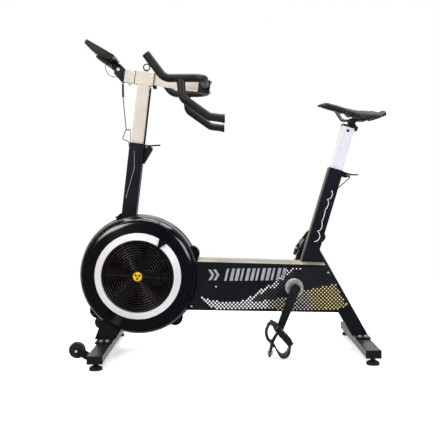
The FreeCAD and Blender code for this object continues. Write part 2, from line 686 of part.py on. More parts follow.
def fan_axle():
    """The fixed axle across the fork plates and its two nuts."""
    nut_across, nut_thick = 28.0, 9.0
    axle = disc(FAN, AXLE_R, -FORK_OUT - nut_thick - 2, FORK_OUT + nut_thick + 2)
    nut = hexagon(FAN, nut_across, FORK_OUT, FORK_OUT + nut_thick).cut(disc(FAN, AXLE_R + SNUG, 0, FAR))
    return [axle, nut, mirrored(nut)]


def bearings():
    """Two bearings in the fan's hub and two in the crank shell."""
    places = [(FAN, -38.0, AXLE_R + SNUG, BEARING_R), (FAN, 8.0, AXLE_R + SNUG, BEARING_R),
              (CRANK, -54.0, AXLE_R + RUNNING, BEARING_R), (CRANK, 17.0, AXLE_R + RUNNING, BEARING_R)]
    return [ring(centre, outer, inner, low, low + BEARING_WIDE) for centre, low, inner, outer in places]


# ---- crank and pedals -----------------------------------------------------------------------------------
DISC_OUT = 80.0
LEFT_ARM_ANGLE = -90.0 - LEFT_CRANK_DOWN
LEFT_SPINDLE = polar(LEFT_ARM_ANGLE, CRANK_ARM, CRANK)
RIGHT_SPINDLE = polar(LEFT_ARM_ANGLE + 180, CRANK_ARM, CRANK)


def bearing_cover():
    """The left bright disc around the crank axle, stepped into the cover's hole."""
    face, lip = BEAM_HALF + 0.2, BEAM_HALF - 3.5
    profile = [(12, -lip), (22, -lip), (22, -face), (36.5, -face), (36.5, -DISC_OUT + 5), (34, -DISC_OUT + 1),
               (26, -DISC_OUT + 1), (24, -DISC_OUT + 3), (12, -DISC_OUT + 3)]
    return turned(profile, CRANK)


def crank_axle():
    return disc(CRANK, AXLE_R, -ARM_OUT, ARM_OUT)


def crank_arm(spindle, side):
    """A tapered arm with a deep boss on the axle and an eye for the pedal spindle."""
    arm = link(CRANK, 19, spindle, 14, ARM_IN, ARM_OUT)
    boss = disc(CRANK, 20, DISC_OUT + 2, ARM_OUT + 4)
    arm = joined([arm, boss])
    arm = arm.cut(disc(CRANK, AXLE_R + SNUG, 0, ARM_OUT + 0.1))
    arm = arm.cut(disc(spindle, SPINDLE_R + SNUG, 0, FAR))
    return arm if side > 0 else mirrored(arm)


def pedal_spindle(spindle, side):
    """A stepped pin fixed in the crank arm, with a collar outside the arm."""
    end = PEDAL_Y + PEDAL_WIDE / 2 - 4
    pin = joined([disc(spindle, SPINDLE_R, ARM_IN, end), disc(spindle, 9.5, ARM_OUT + 0.1, ARM_OUT + 5)])
    return pin if side > 0 else mirrored(pin)


def pedal_place(shape, side):
    """Turns a right-hand pedal piece drawn flat at the origin, and moves it to its spindle."""
    spindle, turn = (LEFT_SPINDLE, LEFT_PEDAL_TURN) if side < 0 else (RIGHT_SPINDLE, RIGHT_PEDAL_TURN)
    if side < 0:
        shape = mirrored(shape)
    shape.rotate(ORIGIN, CROSSWISE, turn)
    shape.translate(spindle)
    return shape


PEDAL_TOE, PEDAL_HEEL, PEDAL_HALF_HIGH = -58.0, 36.0, 11.0
CAGE_HALF, CAGE_THICK = 24.0, 3.0
STRAP_HALF, STRAP_THICK = 10.0, 2.2


def pedal(side):
    """A platform pedal: a hub tube between two end plates, with a tread bar front and rear."""
    low, high = PEDAL_Y - PEDAL_WIDE / 2, PEDAL_Y + PEDAL_WIDE / 2
    wall, web, hub_r = 7.0, 6.0, 13.0
    body = block(Vector(PEDAL_TOE, low, -PEDAL_HALF_HIGH), Vector(PEDAL_HEEL, high, PEDAL_HALF_HIGH))
    body = body.makeFillet(6.0, [e for e in body.Edges if e.Length < 30])
    for front, back in ((PEDAL_TOE + wall, -hub_r - 2), (hub_r + 2, PEDAL_HEEL - wall)):
        body = body.cut(block(Vector(front, low + web, -FAR), Vector(back, high - web, FAR)))
    body = joined([body, disc(ORIGIN, hub_r, low, high)])
    body = body.cut(disc(ORIGIN, SPINDLE_R + RUNNING, low - 1, high - 3))
    return pedal_place(body, side)


def toe_cage(side):
    """A bent toe clip: two side bars from the front of the pedal, up, and back over the toes."""
    path = [(-60, -7), (-66, -5), (-80, 4), (-91, 26), (-87, 49), (-64, 64), (-40, 61), (-15, 47)]
    window = 14.0
    low, high = PEDAL_Y - CAGE_HALF, PEDAL_Y + CAGE_HALF
    cage = prism(ribbon(path, CAGE_THICK), low, high)
    hole = prism([(-76, 8), (-FAR, 8), (-FAR, 90), (-32, 90), (-32, 30)], PEDAL_Y - window, PEDAL_Y + window)
    root = block(Vector(-62.5, low, -9), Vector(PEDAL_TOE - 0.2, high, 9))
    return pedal_place(joined([cage.cut(hole), root]), side)


def toe_strap(side):
    """A strap from the pedal's heel up over the end of the toe clip, with a loose tail and its buckle."""
    loop = [(37.4, -9), (52, -13), (65, -4), (67, 12), (54, 34), (34, 51), (8, 57), (-11, 51.6)]
    tail = [(-20, 60), (-35, 84), (-43, 99)] if side < 0 else [(-17, 58), (0, 68), (26, 78), (50, 84)]
    low, high = PEDAL_Y - STRAP_HALF, PEDAL_Y + STRAP_HALF
    strap = prism(ribbon(loop + tail, STRAP_THICK), low, high)
    plate = ribbon([(33, 55.2), (24, 57.5), (10, 60.4)], 2.0)
    buckle = prism(plate, low - 3, high + 3)
    return [pedal_place(strap, side), pedal_place(buckle, side)]


# ---- handlebar post and carriage --------------------------------------------------------------------------
POST_INSIDE = 165.0                   # length of the handlebar post inside its sleeve
POST_RISE = 243.0                     # sleeve top to the underside of the collar


def on_carriage(shape):
    """Places a piece drawn along the slider: z runs rearward down the slider and x points down."""
    return leant(shape, CARRIAGE_LEAN, CARRIAGE)


def handlebar_post():
    """The square post with the slider's collar welded on top."""
    outer = upright_bar(POST, POST, -POST_INSIDE, POST_RISE + 5, TUBE_CORNER)
    inner = upright_bar(POST - 2 * TUBE_WALL, POST - 2 * TUBE_WALL, -FAR, POST_RISE - 4)
    post = leant(outer.cut(inner), POST_LEAN, POST_TOP)
    half = COLLAR_LONG / 2
    collar = on_carriage(upright_bar(COLLAR_DEEP, COLLAR_WIDE, -half, half, 3.0))
    bore = on_carriage(upright_bar(SLIDER + 2, SLIDER + 2, -FAR, FAR, 3.0))
    knob_hole = on_carriage(rod(ORIGIN, Vector(-40, 0, 0), KNOB_PIN_R + RUNNING))
    return joined([post, collar]).cut(bore).cut(knob_hole)


KNOB_PIN_R = 5.0


def post_guide_strip():
    """The dark strip down the back of the handlebar post."""
    low, high = -POST_INSIDE + 5, POST_RISE - 12
    half = POST / 2
    strip = block(Vector(half, -STRIP_WIDE / 2, low), Vector(half + STRIP_PROUD, STRIP_WIDE / 2, high))
    return leant(strip, POST_LEAN, POST_TOP)


def slider_bushing(side):
    """A plastic bush in one end of the collar, with a thin flange outside it."""
    half = COLLAR_LONG / 2
    inside = SLIDER / 2 + 0.15
    sleeve = upright_bar(SLIDER + 1.9, SLIDER + 1.9, half - 16, half + 1, 3.0)
    flange_plate = upright_bar(COLLAR_DEEP - 1, COLLAR_WIDE - 1, half + 0.1, half + 2.2, 3.0)
    bush = joined([sleeve, flange_plate])
    if side > 0:
        stop = block(Vector(COLLAR_DEEP / 2 - 4, -9, half + 0.1), Vector(COLLAR_DEEP / 2 + 9, 9, half + 15))
        stop = stop.makeFillet(4.0, [e for e in stop.Edges if abs(e.Vertexes[0].Y - e.Vertexes[-1].Y) > 1])
        bush = joined([bush, stop])
    bush = bush.cut(upright_bar(2 * inside, 2 * inside, 0, FAR, 2.0))
    if side < 0:
        bush.rotate(ORIGIN, Vector(1, 0, 0), 180)
    return on_carriage(bush)


def slider_lock_knob():
    """A screw pin with a ring handle on top of the collar."""
    top = -COLLAR_DEEP / 2
    pin = rod(Vector(-SLIDER / 2 - 0.5, 0, 0), Vector(top - 8, 0, 0), KNOB_PIN_R)
    base = rod(Vector(top - 0.3, 0, 0), Vector(top - 7, 0, 0), 9.0)
    handle = Part.makeTorus(13.0, 2.6, Vector(top - 21, 0, 0), CROSSWISE)
    return on_carriage(joined([pin, base, handle]))


# ---- slider, handlebar and clamp --------------------------------------------------------------------------
SLIDER_FRONT, SLIDER_REAR = -82.0, 222.0
BLOCK_BACK = -40.0
CLAMP_HALF_HIGH, CLAMP_HALF_WIDE = 28.0, 24.0
CLAMP_BOLTS = [(x, y) for x in (-23.5, 19.0) for y in (-14.0, 14.0)]
CLAMP_BACK = CLAMP_AT + 20.0
CLAMP_BOLT_SHANK_R = 2.5
PIVOT_R = 4.0                         # console pivot bolt
BRACKET_IN, BRACKET_OUT = 20.0, 24.0


def slider_tube():
    """The slider tube with its front block and the rubber-tipped stop under it."""
    wall = 3.0
    tube = upright_bar(SLIDER, SLIDER, SLIDER_FRONT, SLIDER_REAR, 2.5)
    front = upright_bar(POST, POST, SLIDER_FRONT, BLOCK_BACK, 3.0)
    stop = Part.makeCone(13, 3, 13, Vector(POST / 2 - 1, 0, -60), Vector(1, 0, 0))
    hollow = upright_bar(SLIDER - 2 * wall, SLIDER - 2 * wall, SLIDER_FRONT + wall, SLIDER_REAR - wall)
    return on_carriage(joined([tube, front, stop]).cut(hollow))


def clamp_half(low, high, bolt_low):
    """Half of the handlebar clamp, split across the bar."""
    gap = 0.2
    half = upright_bar(2 * CLAMP_HALF_HIGH, 2 * CLAMP_HALF_WIDE, low, high, 4.0)
    half = half.cut(disc(Vector(-BAR_ABOVE, 0, CLAMP_AT), BAR_R + gap, -FAR, FAR))
    for x, y in CLAMP_BOLTS:
        half = half.cut(rod(Vector(x, y, bolt_low), Vector(x, y, high + 1), CLAMP_BOLT_SHANK_R + 0.1))
    return on_carriage(half)


def handlebar_clamp():
    """The two halves of the handlebar clamp; the front one is welded to the slider's end."""
    split = 0.5
    return [clamp_half(SLIDER_REAR, CLAMP_AT - split, SLIDER_REAR + 8),
            clamp_half(CLAMP_AT + split, CLAMP_BACK, CLAMP_AT)]


def slider_bolts():
    """Four clamp bolts and the console's pivot bolt."""
    bolts = []
    for x, y in CLAMP_BOLTS:
        shank = rod(Vector(x, y, SLIDER_REAR + 10), Vector(x, y, CLAMP_BACK + 1), CLAMP_BOLT_SHANK_R)
        head = rod(Vector(x, y, CLAMP_BACK + 0.05), Vector(x, y, CLAMP_BACK + 6), 4.5)
        bolts.append(on_carriage(joined([shank, head])))
    pivot = disc(CONSOLE_PIVOT, PIVOT_R, -BRACKET_OUT - 0.5, BRACKET_OUT + 0.5)
    ends = [(BRACKET_OUT + 0.5, BRACKET_OUT + 5), (-BRACKET_OUT - 5, -BRACKET_OUT - 0.5)]
    heads = [disc(CONSOLE_PIVOT, 7.0, low, high) for low, high in ends]
    return bolts + [joined([pivot] + heads)]


def handlebar():
    """A bent bar: raised horns, long straights, a crossbar, and a drop grip under each straight."""
    cross = on_carriage_points([(-BAR_ABOVE, CLAMP_AT)])
    horn, elbow = (-324, 1190), (-256, BAR_Z)
    side = [Vector(x, -BAR_HALF_SPAN, z) for x, z in [horn, elbow] + cross]
    loop = side + [Vector(p.x, -p.y, p.z) for p in reversed(side)]
    drop = [Vector(x, -BAR_HALF_SPAN, z) for x, z in ((-194, BAR_Z), (-188, 1022), (-88, 950), (-31, 942))]
    grip = bent_rod(drop, 34.0, BAR_R)
    return joined([bent_rod(loop, 48.0, BAR_R), grip, mirrored(grip)])


# ---- console ----------------------------------------------------------------------------------------------
SCREEN_HALF, SCREEN_FROM, SCREEN_TO = 62.0, 14.0, 92.0
BUTTON_Y, BUTTON_AT, BUTTON_R = 30.0, 109.0, 8.0


def on_console(shape):
    """Places a piece drawn with z down the console's face and x into the console."""
    return leant(shape, CONSOLE_LEAN, CONSOLE_CORNER)


def console_bracket():
    """A U bracket on the front block that carries the console's pivot."""
    face = on_carriage_points([(-25, SLIDER_FRONT), (25, SLIDER_FRONT)])
    (ax, az), (bx, bz) = face
    ear = [(ax, az), (bx, bz), (-448, 1116), (-477, 1150), (-473, 1178), (-452, 1189)]
    ears = [prism(ear, BRACKET_IN, BRACKET_OUT), prism(ear, -BRACKET_OUT, -BRACKET_IN)]
    base = prism([(ax, az), (bx, bz), (bx - 4, bz), (ax - 4, az)], -BRACKET_OUT, BRACKET_OUT)
    return joined(ears + [base]).cut(disc(CONSOLE_PIVOT, PIVOT_R + SNUG, -FAR, FAR))


def on_carriage_points(points):
    """Side-plane places of (x, z) points drawn along the slider."""
    lean = math.radians(CARRIAGE_LEAN)
    placed = []
    for x, z in points:
        placed.append((CARRIAGE.x + x * math.cos(lean) + z * math.sin(lean),
                       CARRIAGE.z - x * math.sin(lean) + z * math.cos(lean)))
    return placed


def console_housing():
    """A wedge-shaped case with a battery box and a neck to the pivot."""
    case = [(0, 0), (0, 128), (25, 128), (29.5, 72), (28, 39), (17, 0.5)]
    hollow = [(5, 4), (5, 124), (22, 124), (26.5, 72), (25, 40), (14, 4)]
    body = prism(case, -CONSOLE_HALF, CONSOLE_HALF)
    end_edges = [e for e in body.Edges if abs(e.Vertexes[0].Y - e.Vertexes[-1].Y) < 1]
    body = body.makeFillet(4.0, [e for e in end_edges if e.Length < 120])
    box = prism([(24, 62), (24, 121), (46, 121), (40, 58)], -40, 40)
    body = joined([body, box]).cut(prism(hollow, -CONSOLE_HALF + 3, CONSOLE_HALF - 3))
    body = body.cut(block(Vector(-1, -SCREEN_HALF, SCREEN_FROM), Vector(3, SCREEN_HALF, SCREEN_TO)))
    for y in (-BUTTON_Y, BUTTON_Y):
        body = body.cut(rod(Vector(-2, y, BUTTON_AT), Vector(8, y, BUTTON_AT), BUTTON_R + 0.1))
    body = on_console(body)
    neck = prism([(-487, 1196), (-468, 1206), (-446, 1172), (-452, 1153), (-486, 1168)], -19, 19)
    neck = joined([neck, disc(CONSOLE_PIVOT, 15, -19, 19)])
    return joined([body, neck]).cut(disc(CONSOLE_PIVOT, PIVOT_R + RUNNING, -FAR, FAR))


def console_screen():
    """The window in the console's face."""
    gap = 0.2
    return on_console(block(Vector(0.4, gap - SCREEN_HALF, SCREEN_FROM + gap),
                            Vector(3, SCREEN_HALF - gap, SCREEN_TO - gap)))


def console_button(side):
    """A domed key below the window."""
    stem = rod(Vector(-2, 0, 0), Vector(4.8, 0, 0), BUTTON_R)
    stem = stem.makeChamfer(0.8, [e for e in stem.Edges if all(abs(v.X + 2) < 0.1 for v in e.Vertexes)])
    stem.translate(Vector(0, side * BUTTON_Y, BUTTON_AT))
    return on_console(stem)


def sensor_cable():
    """A plug under the console bracket, a lead down the front of the post and a loop into the sleeve."""
    path = ((-446, 1112), (-446, 1052), (-436, 925), (-452, 884), (-426, 874), (-424, 850))
    lead = bent_rod([Vector(x, 0, z) for x, z in path], 6.0, 1.8)
    plug = rod(Vector(-446, 0, 1110), Vector(-446, 0, 1056), 4.6)
    return joined([lead, plug])


# ---- lock levers ------------------------------------------------------------------------------------------
def lock_spring(lever_x, foot_x, foot_z, lean, foot):
    """A bent steel strip from under the lever back to the sleeve."""
    outline = ribbon([(lever_x, LEVER_Z), (lever_x, LEVER_Z - 11), (foot_x, foot_z)], 3.0)
    return leant(prism(outline, -EAR_IN + 0.1, EAR_IN - 0.1), lean, foot)


def lock_pin(pivot_x, lean, foot):
    """The lever's pin, with a bright head outside each ear."""
    at = Vector(pivot_x, 0, LEVER_Z)
    pin = joined([disc(at, LEVER_PIN_R, -EAR_OUT - 0.5, EAR_OUT + 0.5),
                  disc(at, 6.5, EAR_OUT + 0.3, EAR_OUT + 3.5), disc(at, 6.5, -EAR_OUT - 3.5, -EAR_OUT - 0.3)])
    return leant(pin, lean, foot)


def lock_hardware():
    pins = [lock_pin(POST_LEVER_X, POST_LEAN, POST_TOP), lock_pin(SEAT_LEVER_X, SEAT_LEAN, SEAT_TOP)]
    post_spring = lock_spring(61, 33.4, -76, POST_LEAN, POST_TOP)
    seat_spring = lock_spring(64.5, 33.4, -70, SEAT_LEAN, SEAT_TOP)
    return pins + [post_spring, seat_spring]


def lock_lever(pivot_x, lean, foot):
    """A cam lever: a round cam on the pin and a curved blade to the rear."""
    cam_r, tip_x, tip_z = 7.8, 94.0, 4.0
    at = Vector(pivot_x, 0, LEVER_Z)
    root = LEVER_Z + 5.6
    path = [(pivot_x, root), (pivot_x + 14, root), (pivot_x + 26, root + 2.4), (tip_x, tip_z)]
    lever = joined([disc(at, cam_r, -7.5, 7.5), prism(ribbon(path, 5.6), -7.5, 7.5)])
    return leant(lever.cut(disc(at, LEVER_PIN_R + RUNNING, -FAR, FAR)), lean, foot)


# ---- seat ---------------------------------------------------------------------------------------------
SEAT_RISE = 179.0
SEAT_INSIDE = 130.0
HEAD_SCREW_Z = 163.0


def seat_post():
    bar = upright_bar(POST, POST, -SEAT_INSIDE, SEAT_RISE, TUBE_CORNER)
    bar = bar.cut(upright_bar(POST - 2 * TUBE_WALL, POST - 2 * TUBE_WALL, -FAR, FAR))
    bar = bar.cut(disc(Vector(0, 0, HEAD_SCREW_Z), 3.1, -FAR, 0))
    return leant(bar, SEAT_LEAN, SEAT_TOP)


def seat_head():
    """The head plugged into the post, its screw, and the eye that the saddle clamp tilts on."""
    plug_half = POST / 2 - TUBE_WALL - 0.2
    cap = upright_bar(56, 56, SEAT_RISE + 0.1, SEAT_RISE + 8, 5.0)
    cap = cap.makeFillet(2.0, [e for e in cap.Edges if all(v.Z > SEAT_RISE + 7 for v in e.Vertexes)])
    plug = upright_bar(2 * plug_half, 2 * plug_half, SEAT_RISE - 30, SEAT_RISE + 1)
    boss = block(Vector(-6, -13.8, SEAT_RISE + 1), Vector(30, 13.8, SEAT_RISE + 17))
    nose = block(Vector(POST / 2 + 1, -13.8, SEAT_RISE - 6), Vector(38, 13.8, SEAT_RISE + 13))
    head = joined([cap, plug, boss, nose]).cut(disc(Vector(0, 0, HEAD_SCREW_Z), 3.1, -FAR, 0))
    head = leant(head, SEAT_LEAN, SEAT_TOP)
    head = joined([head, disc(SADDLE_PIVOT, 10, -13.8, 13.8)])
    head = head.cut(disc(SADDLE_PIVOT, CLAMP_BOLT_R + RUNNING, -FAR, FAR))
    shank = disc(Vector(0, 0, HEAD_SCREW_Z), 3.0, -POST / 2, -4)
    bolt_head = disc(Vector(0, 0, HEAD_SCREW_Z), 5.5, -POST / 2 - 3, -POST / 2 - 0.05)
    return [head, leant(joined([shank, bolt_head]), SEAT_LEAN, SEAT_TOP)]


CLAMP_BOLT_R = 4.0


def saddle_clamp():
    """Two cheeks that grip the rails, on a bolt through the head's eye."""
    inner, outer, half_long = 14.2, 29.0, 16.0
    cheek = disc(SADDLE_PIVOT, 9.0, inner, outer)
    x = SADDLE_PIVOT.x
    grip = block(Vector(x - half_long, inner, RAIL_Z - 8), Vector(x + half_long, outer, RAIL_Z + 7))
    grip = grip.makeFillet(3.0, [e for e in grip.Edges if abs(e.Vertexes[0].Y - e.Vertexes[-1].Y) > 1])
    cheek = joined([cheek, grip])
    groove = rod(Vector(0, RAIL_Y, RAIL_Z), Vector(FAR, RAIL_Y, RAIL_Z), RAIL_R + RUNNING)
    cheek = cheek.cut(groove).cut(disc(SADDLE_PIVOT, CLAMP_BOLT_R + SNUG, -FAR, FAR))
    head_r, gap, end = 7.0, 0.1, outer + 6
    heads = [disc(SADDLE_PIVOT, head_r, outer + gap, end), disc(SADDLE_PIVOT, head_r, -end, -outer - gap)]
    bolt = joined([disc(SADDLE_PIVOT, CLAMP_BOLT_R, -outer - 1, outer + 1)] + heads)
    return [cheek, mirrored(cheek), bolt]


def rail(side, radius):
    points = [Vector(x, side * RAIL_Y * share, z) for x, share, z in
              ((424, 0.5, 997), (458, 1, RAIL_Z), (548, 1, RAIL_Z), (602, 1, 968))]
    return bent_rod(points, 14.0, radius)


def saddle_rails():
    return [rail(-1, RAIL_R), rail(1, RAIL_R)]


# Stations along the saddle: x, half width, top of the crown, lower edge.
SADDLE = [(354, 5, 1014, 1007), (368, 16, 1021, 1002), (394, 21, 1026, 997), (430, 23, 1015, 985),
          (470, 31, 1000, 966), (510, 46, 991, 948), (548, 61, 987, 936), (590, 70, 986, 946),
          (616, 69, 988, 957), (630, 58, 987, 963)]


def saddle_form(side_gap, top_gap, drop, first, last):
    """The solid under the saddle's crown, drawn in from its surface and dropped below its lower edge."""
    arch = [math.radians(15 * k) for k in range(13)]
    wires = []
    for x, half, top, low in SADDLE[first:last]:
        wide, high = half - side_gap, top - top_gap - low
        points = [Vector(x, wide * math.cos(a), low - drop + (high + drop) * math.sin(a)) for a in arch]
        wires.append(Part.makePolygon(points + points[:1]))
    return Part.makeLoft(wires, True, True)


def saddle_pad():
    """The padded cover, hollow from below."""
    return saddle_form(0, 0, 0, 0, len(SADDLE)).cut(saddle_form(3.5, 6.0, 1.0, 1, len(SADDLE) - 1))


def saddle_base():
    """The moulded shell under the pad, with sockets for the two rails."""
    outer = saddle_form(4.7, 7.2, 0, 2, len(SADDLE) - 1)
    shell = outer.cut(saddle_form(7.2, 10.5, 1.0, 2, len(SADDLE) - 1))
    sockets = [block(Vector(416, -20, 990), Vector(432, 20, 1012)),
               block(Vector(590, -32, 960), Vector(604, 32, 980))]
    base = joined([shell] + [socket.common(outer) for socket in sockets])
    return base.cut(rail(-1, RAIL_R + SNUG)).cut(rail(1, RAIL_R + SNUG))


# ---- the nodes --------------------------------------------------------------------------------------------
def nodes():
    cover, trim, grille, badge = left_beam_cover(), left_trim_ring(), left_grille(), left_badge()
    disc_cover = bearing_cover()
    return {
        "main_frame": [main_frame()],
        "sleeve_liners": sleeve_liners(),
        "front_stabiliser": [stabiliser(-BASE_X, FRONT_HALF, FRONT_FOOT_Y, FRONT_BOLT_Y)],
        "rear_stabiliser": [stabiliser(BASE_X, REAR_HALF, REAR_FOOT_Y, REAR_BOLT_Y)],
        "stabiliser_end_caps": end_caps(),
        "stabiliser_bolts": flange_bolts(),
        "levelling_feet": levelling_feet(),
        "wheel_brackets": wheel_brackets(),
        "left_transport_wheel": [transport_wheel(-1)],
        "right_transport_wheel": [transport_wheel(1)],
        "left_beam_cover": [cover],
        "right_beam_cover": [mirrored(cover)],
        "beam_top_cover": [beam_top_cover()],
        "left_fan_shell": [left_fan_shell()],
        "right_fan_shell": [right_fan_shell()],
        "cover_screws": cover_screws(),
        "trim_rings": [trim, mirrored(trim)],
        "grilles": [grille, mirrored(grille)],
        "grille_badges": [badge, mirrored(badge)],
        "damper_shutter": [damper_shutter()],
        "damper_lever": [damper_lever()],
        "fan_wheel": [fan_wheel()],
        "fan_pulley": [fan_pulley()],
        "fan_axle": fan_axle(),
        "bearings": bearings(),
        "drive_belt": [drive_belt()],
        "crank_pulley": [crank_pulley()],
        "crank_axle": [crank_axle()],
        "bearing_covers": [disc_cover, mirrored(disc_cover)],
        "crank_arms": [crank_arm(LEFT_SPINDLE, -1), crank_arm(RIGHT_SPINDLE, 1)],
        "pedal_spindles": [pedal_spindle(LEFT_SPINDLE, -1), pedal_spindle(RIGHT_SPINDLE, 1)],
        "left_pedal": [pedal(-1)],
        "right_pedal": [pedal(1)],
        "left_toe_cage": [toe_cage(-1)],
        "right_toe_cage": [toe_cage(1)],
        "left_toe_strap": toe_strap(-1),
        "right_toe_strap": toe_strap(1),
        "handlebar_post": [handlebar_post()],
        "post_guide_strip": [post_guide_strip()],
        "slider_bushings": [slider_bushing(-1), slider_bushing(1)],
        "slider_lock_knob": [slider_lock_knob()],
        "slider_tube": [slider_tube()],
        "handlebar": [handlebar()],
        "handlebar_clamp": handlebar_clamp(),
        "slider_bolts": slider_bolts(),
        "console_bracket": [console_bracket()],
        "console_housing": [console_housing()],
        "console_screen": [console_screen()],
        "left_button": [console_button(-1)],
        "right_button": [console_button(1)],
        "sensor_cable": [sensor_cable()],
        "lock_hardware": lock_hardware(),
        "post_lock_lever": [lock_lever(POST_LEVER_X, POST_LEAN, POST_TOP)],
        "seat_lock_lever": [lock_lever(SEAT_LEVER_X, SEAT_LEAN, SEAT_TOP)],
        "seat_post": [seat_post()],
        "seat_head": seat_head(),
        "saddle_clamp": saddle_clamp(),
        "saddle_rails": saddle_rails(),
        "saddle_base": [saddle_base()],
        "saddle_pad": [saddle_pad()],
    }


def main():
    os.makedirs("parts", exist_ok=True)
    for name, shapes in nodes().items():
        solids = [solid for shape in shapes for solid in shape.Solids]
        shape = solids[0] if len(solids) == 1 else Part.makeCompound(solids)
        shape.exportStep(f"parts/{name}.step")


main()
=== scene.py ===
import json
import math

import bmesh
import bpy
from mathutils import Matrix, Vector
from mathutils.bvhtree import BVHTree


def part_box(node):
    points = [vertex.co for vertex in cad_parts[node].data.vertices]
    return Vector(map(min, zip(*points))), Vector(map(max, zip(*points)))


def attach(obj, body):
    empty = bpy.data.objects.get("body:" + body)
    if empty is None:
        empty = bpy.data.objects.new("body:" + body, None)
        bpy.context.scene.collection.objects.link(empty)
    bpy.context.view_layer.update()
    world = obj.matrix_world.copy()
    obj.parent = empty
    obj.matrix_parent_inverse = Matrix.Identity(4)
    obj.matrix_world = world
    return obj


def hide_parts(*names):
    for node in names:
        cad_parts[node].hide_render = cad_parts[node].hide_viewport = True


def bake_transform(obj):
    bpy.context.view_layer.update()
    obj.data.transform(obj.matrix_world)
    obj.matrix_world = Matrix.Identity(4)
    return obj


# Looks for the air bike: materials for every CAD node, printed graphics, soft parts and small hardware.
# Metres. X runs to the rear, Y to the rider's right, Z up; the camera looks from the left, along +Y.

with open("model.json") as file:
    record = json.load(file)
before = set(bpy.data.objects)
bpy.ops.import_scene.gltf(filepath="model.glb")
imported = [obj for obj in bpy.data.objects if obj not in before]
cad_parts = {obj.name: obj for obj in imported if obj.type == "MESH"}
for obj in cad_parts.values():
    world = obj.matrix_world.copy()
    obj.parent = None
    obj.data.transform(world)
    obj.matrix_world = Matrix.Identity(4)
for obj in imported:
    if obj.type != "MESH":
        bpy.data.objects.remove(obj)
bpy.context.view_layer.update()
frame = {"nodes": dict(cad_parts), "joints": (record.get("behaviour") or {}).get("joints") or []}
MM = 0.001
JOINT = {joint["name"]: joint for joint in frame["joints"]}


# ---- materials ----------------------------------------------------------------------------------------
MIX_A, MIX_B, MIX_OUT = 6, 7, 2       # the colour sockets of a Mix node


def add(tree, kind, **settings):
    """A shader node with some of its inputs or properties set."""
    node = tree.nodes.new("ShaderNode" + kind)
    for key, value in settings.items():
        if key in node.inputs:
            node.inputs[key].default_value = value
        else:
            setattr(node, key, value)
    return node


def noise(tree, coords, scale, detail=4.0, stretch=None):
    """Object-space noise, optionally stretched along an axis."""
    source = coords
    if stretch:
        mapping = add(tree, "Mapping")
        mapping.inputs["Scale"].default_value = stretch
        tree.links.new(coords, mapping.inputs["Vector"])
        source = mapping.outputs["Vector"]
    node = add(tree, "TexNoise", Scale=scale, Detail=detail)
    tree.links.new(source, node.inputs["Vector"])
    return node.outputs["Fac"]


def map_range(tree, value, start, end, low, high):
    """Maps a value's run from start to end onto low to high."""
    node = add(tree, "MapRange")
    for key, number in (("From Min", start), ("From Max", end), ("To Min", low), ("To Max", high)):
        node.inputs[key].default_value = number
    tree.links.new(value, node.inputs["Value"])
    return node.outputs[0]


def spread(tree, value, low, high):
    """Maps the middle of a noise output onto low to high."""
    return map_range(tree, value, 0.3, 0.7, low, high)


def shade(colour, factor):
    """A colour made darker or lighter, with its alpha."""
    return (*[min(1.0, c * factor) for c in colour], 1.0)


def surface(name, colour, rough=0.45, metal=0.0, mottle=0.12, patch=14.0, grain=900.0, depth=0.03,
            coat=0.0, sheen=0.0, cells=0.0, weave=0.0, stretch=None, specular=0.5):
    """A material whose colour, roughness and relief all come from noise in object space.

    patch is the scale of colour variation, grain and depth (mm) the fine relief, cells the scale of
    leather or rubber cells and weave the threads per metre."""
    mat = bpy.data.materials.new(name)
    mat.use_nodes = True
    tree = mat.node_tree
    bsdf = tree.nodes["Principled BSDF"]
    coords = add(tree, "TexCoord").outputs["Object"]
    broad = noise(tree, coords, patch, 5.0)
    fine = noise(tree, coords, grain, 3.0, stretch)

    mix = add(tree, "Mix", data_type="RGBA")
    mix.inputs[MIX_A].default_value = shade(colour, 1 - mottle)
    mix.inputs[MIX_B].default_value = shade(colour, 1 + mottle)
    tree.links.new(spread(tree, broad, 0.0, 1.0), mix.inputs[0])
    tree.links.new(mix.outputs[MIX_OUT], bsdf.inputs["Base Color"])
    roughness = spread(tree, broad, rough * 0.85, min(1.0, rough * 1.15))
    tree.links.new(roughness, bsdf.inputs["Roughness"])

    height = fine
    if cells:
        voronoi = add(tree, "TexVoronoi", Scale=cells)
        tree.links.new(coords, voronoi.inputs["Vector"])
        height = voronoi.outputs["Distance"]
    if weave:
        threads = []
        for direction in ("X", "Z"):
            wave = add(tree, "TexWave", Scale=weave, bands_direction=direction)
            tree.links.new(coords, wave.inputs["Vector"])
            threads.append(wave.outputs["Fac"])
        cross = add(tree, "Math", operation="MAXIMUM")
        tree.links.new(threads[0], cross.inputs[0])
        tree.links.new(threads[1], cross.inputs[1])
        height = cross.outputs[0]
    bump = add(tree, "Bump", Strength=0.6, Distance=depth * MM)
    tree.links.new(height, bump.inputs["Height"])
    tree.links.new(bump.outputs["Normal"], bsdf.inputs["Normal"])
    bsdf.inputs["Metallic"].default_value = metal
    bsdf.inputs["Coat Weight"].default_value = coat
    bsdf.inputs["Coat Roughness"].default_value = 0.12
    bsdf.inputs["Sheen Weight"].default_value = sheen
    bsdf.inputs["Specular IOR Level"].default_value = specular
    return mat


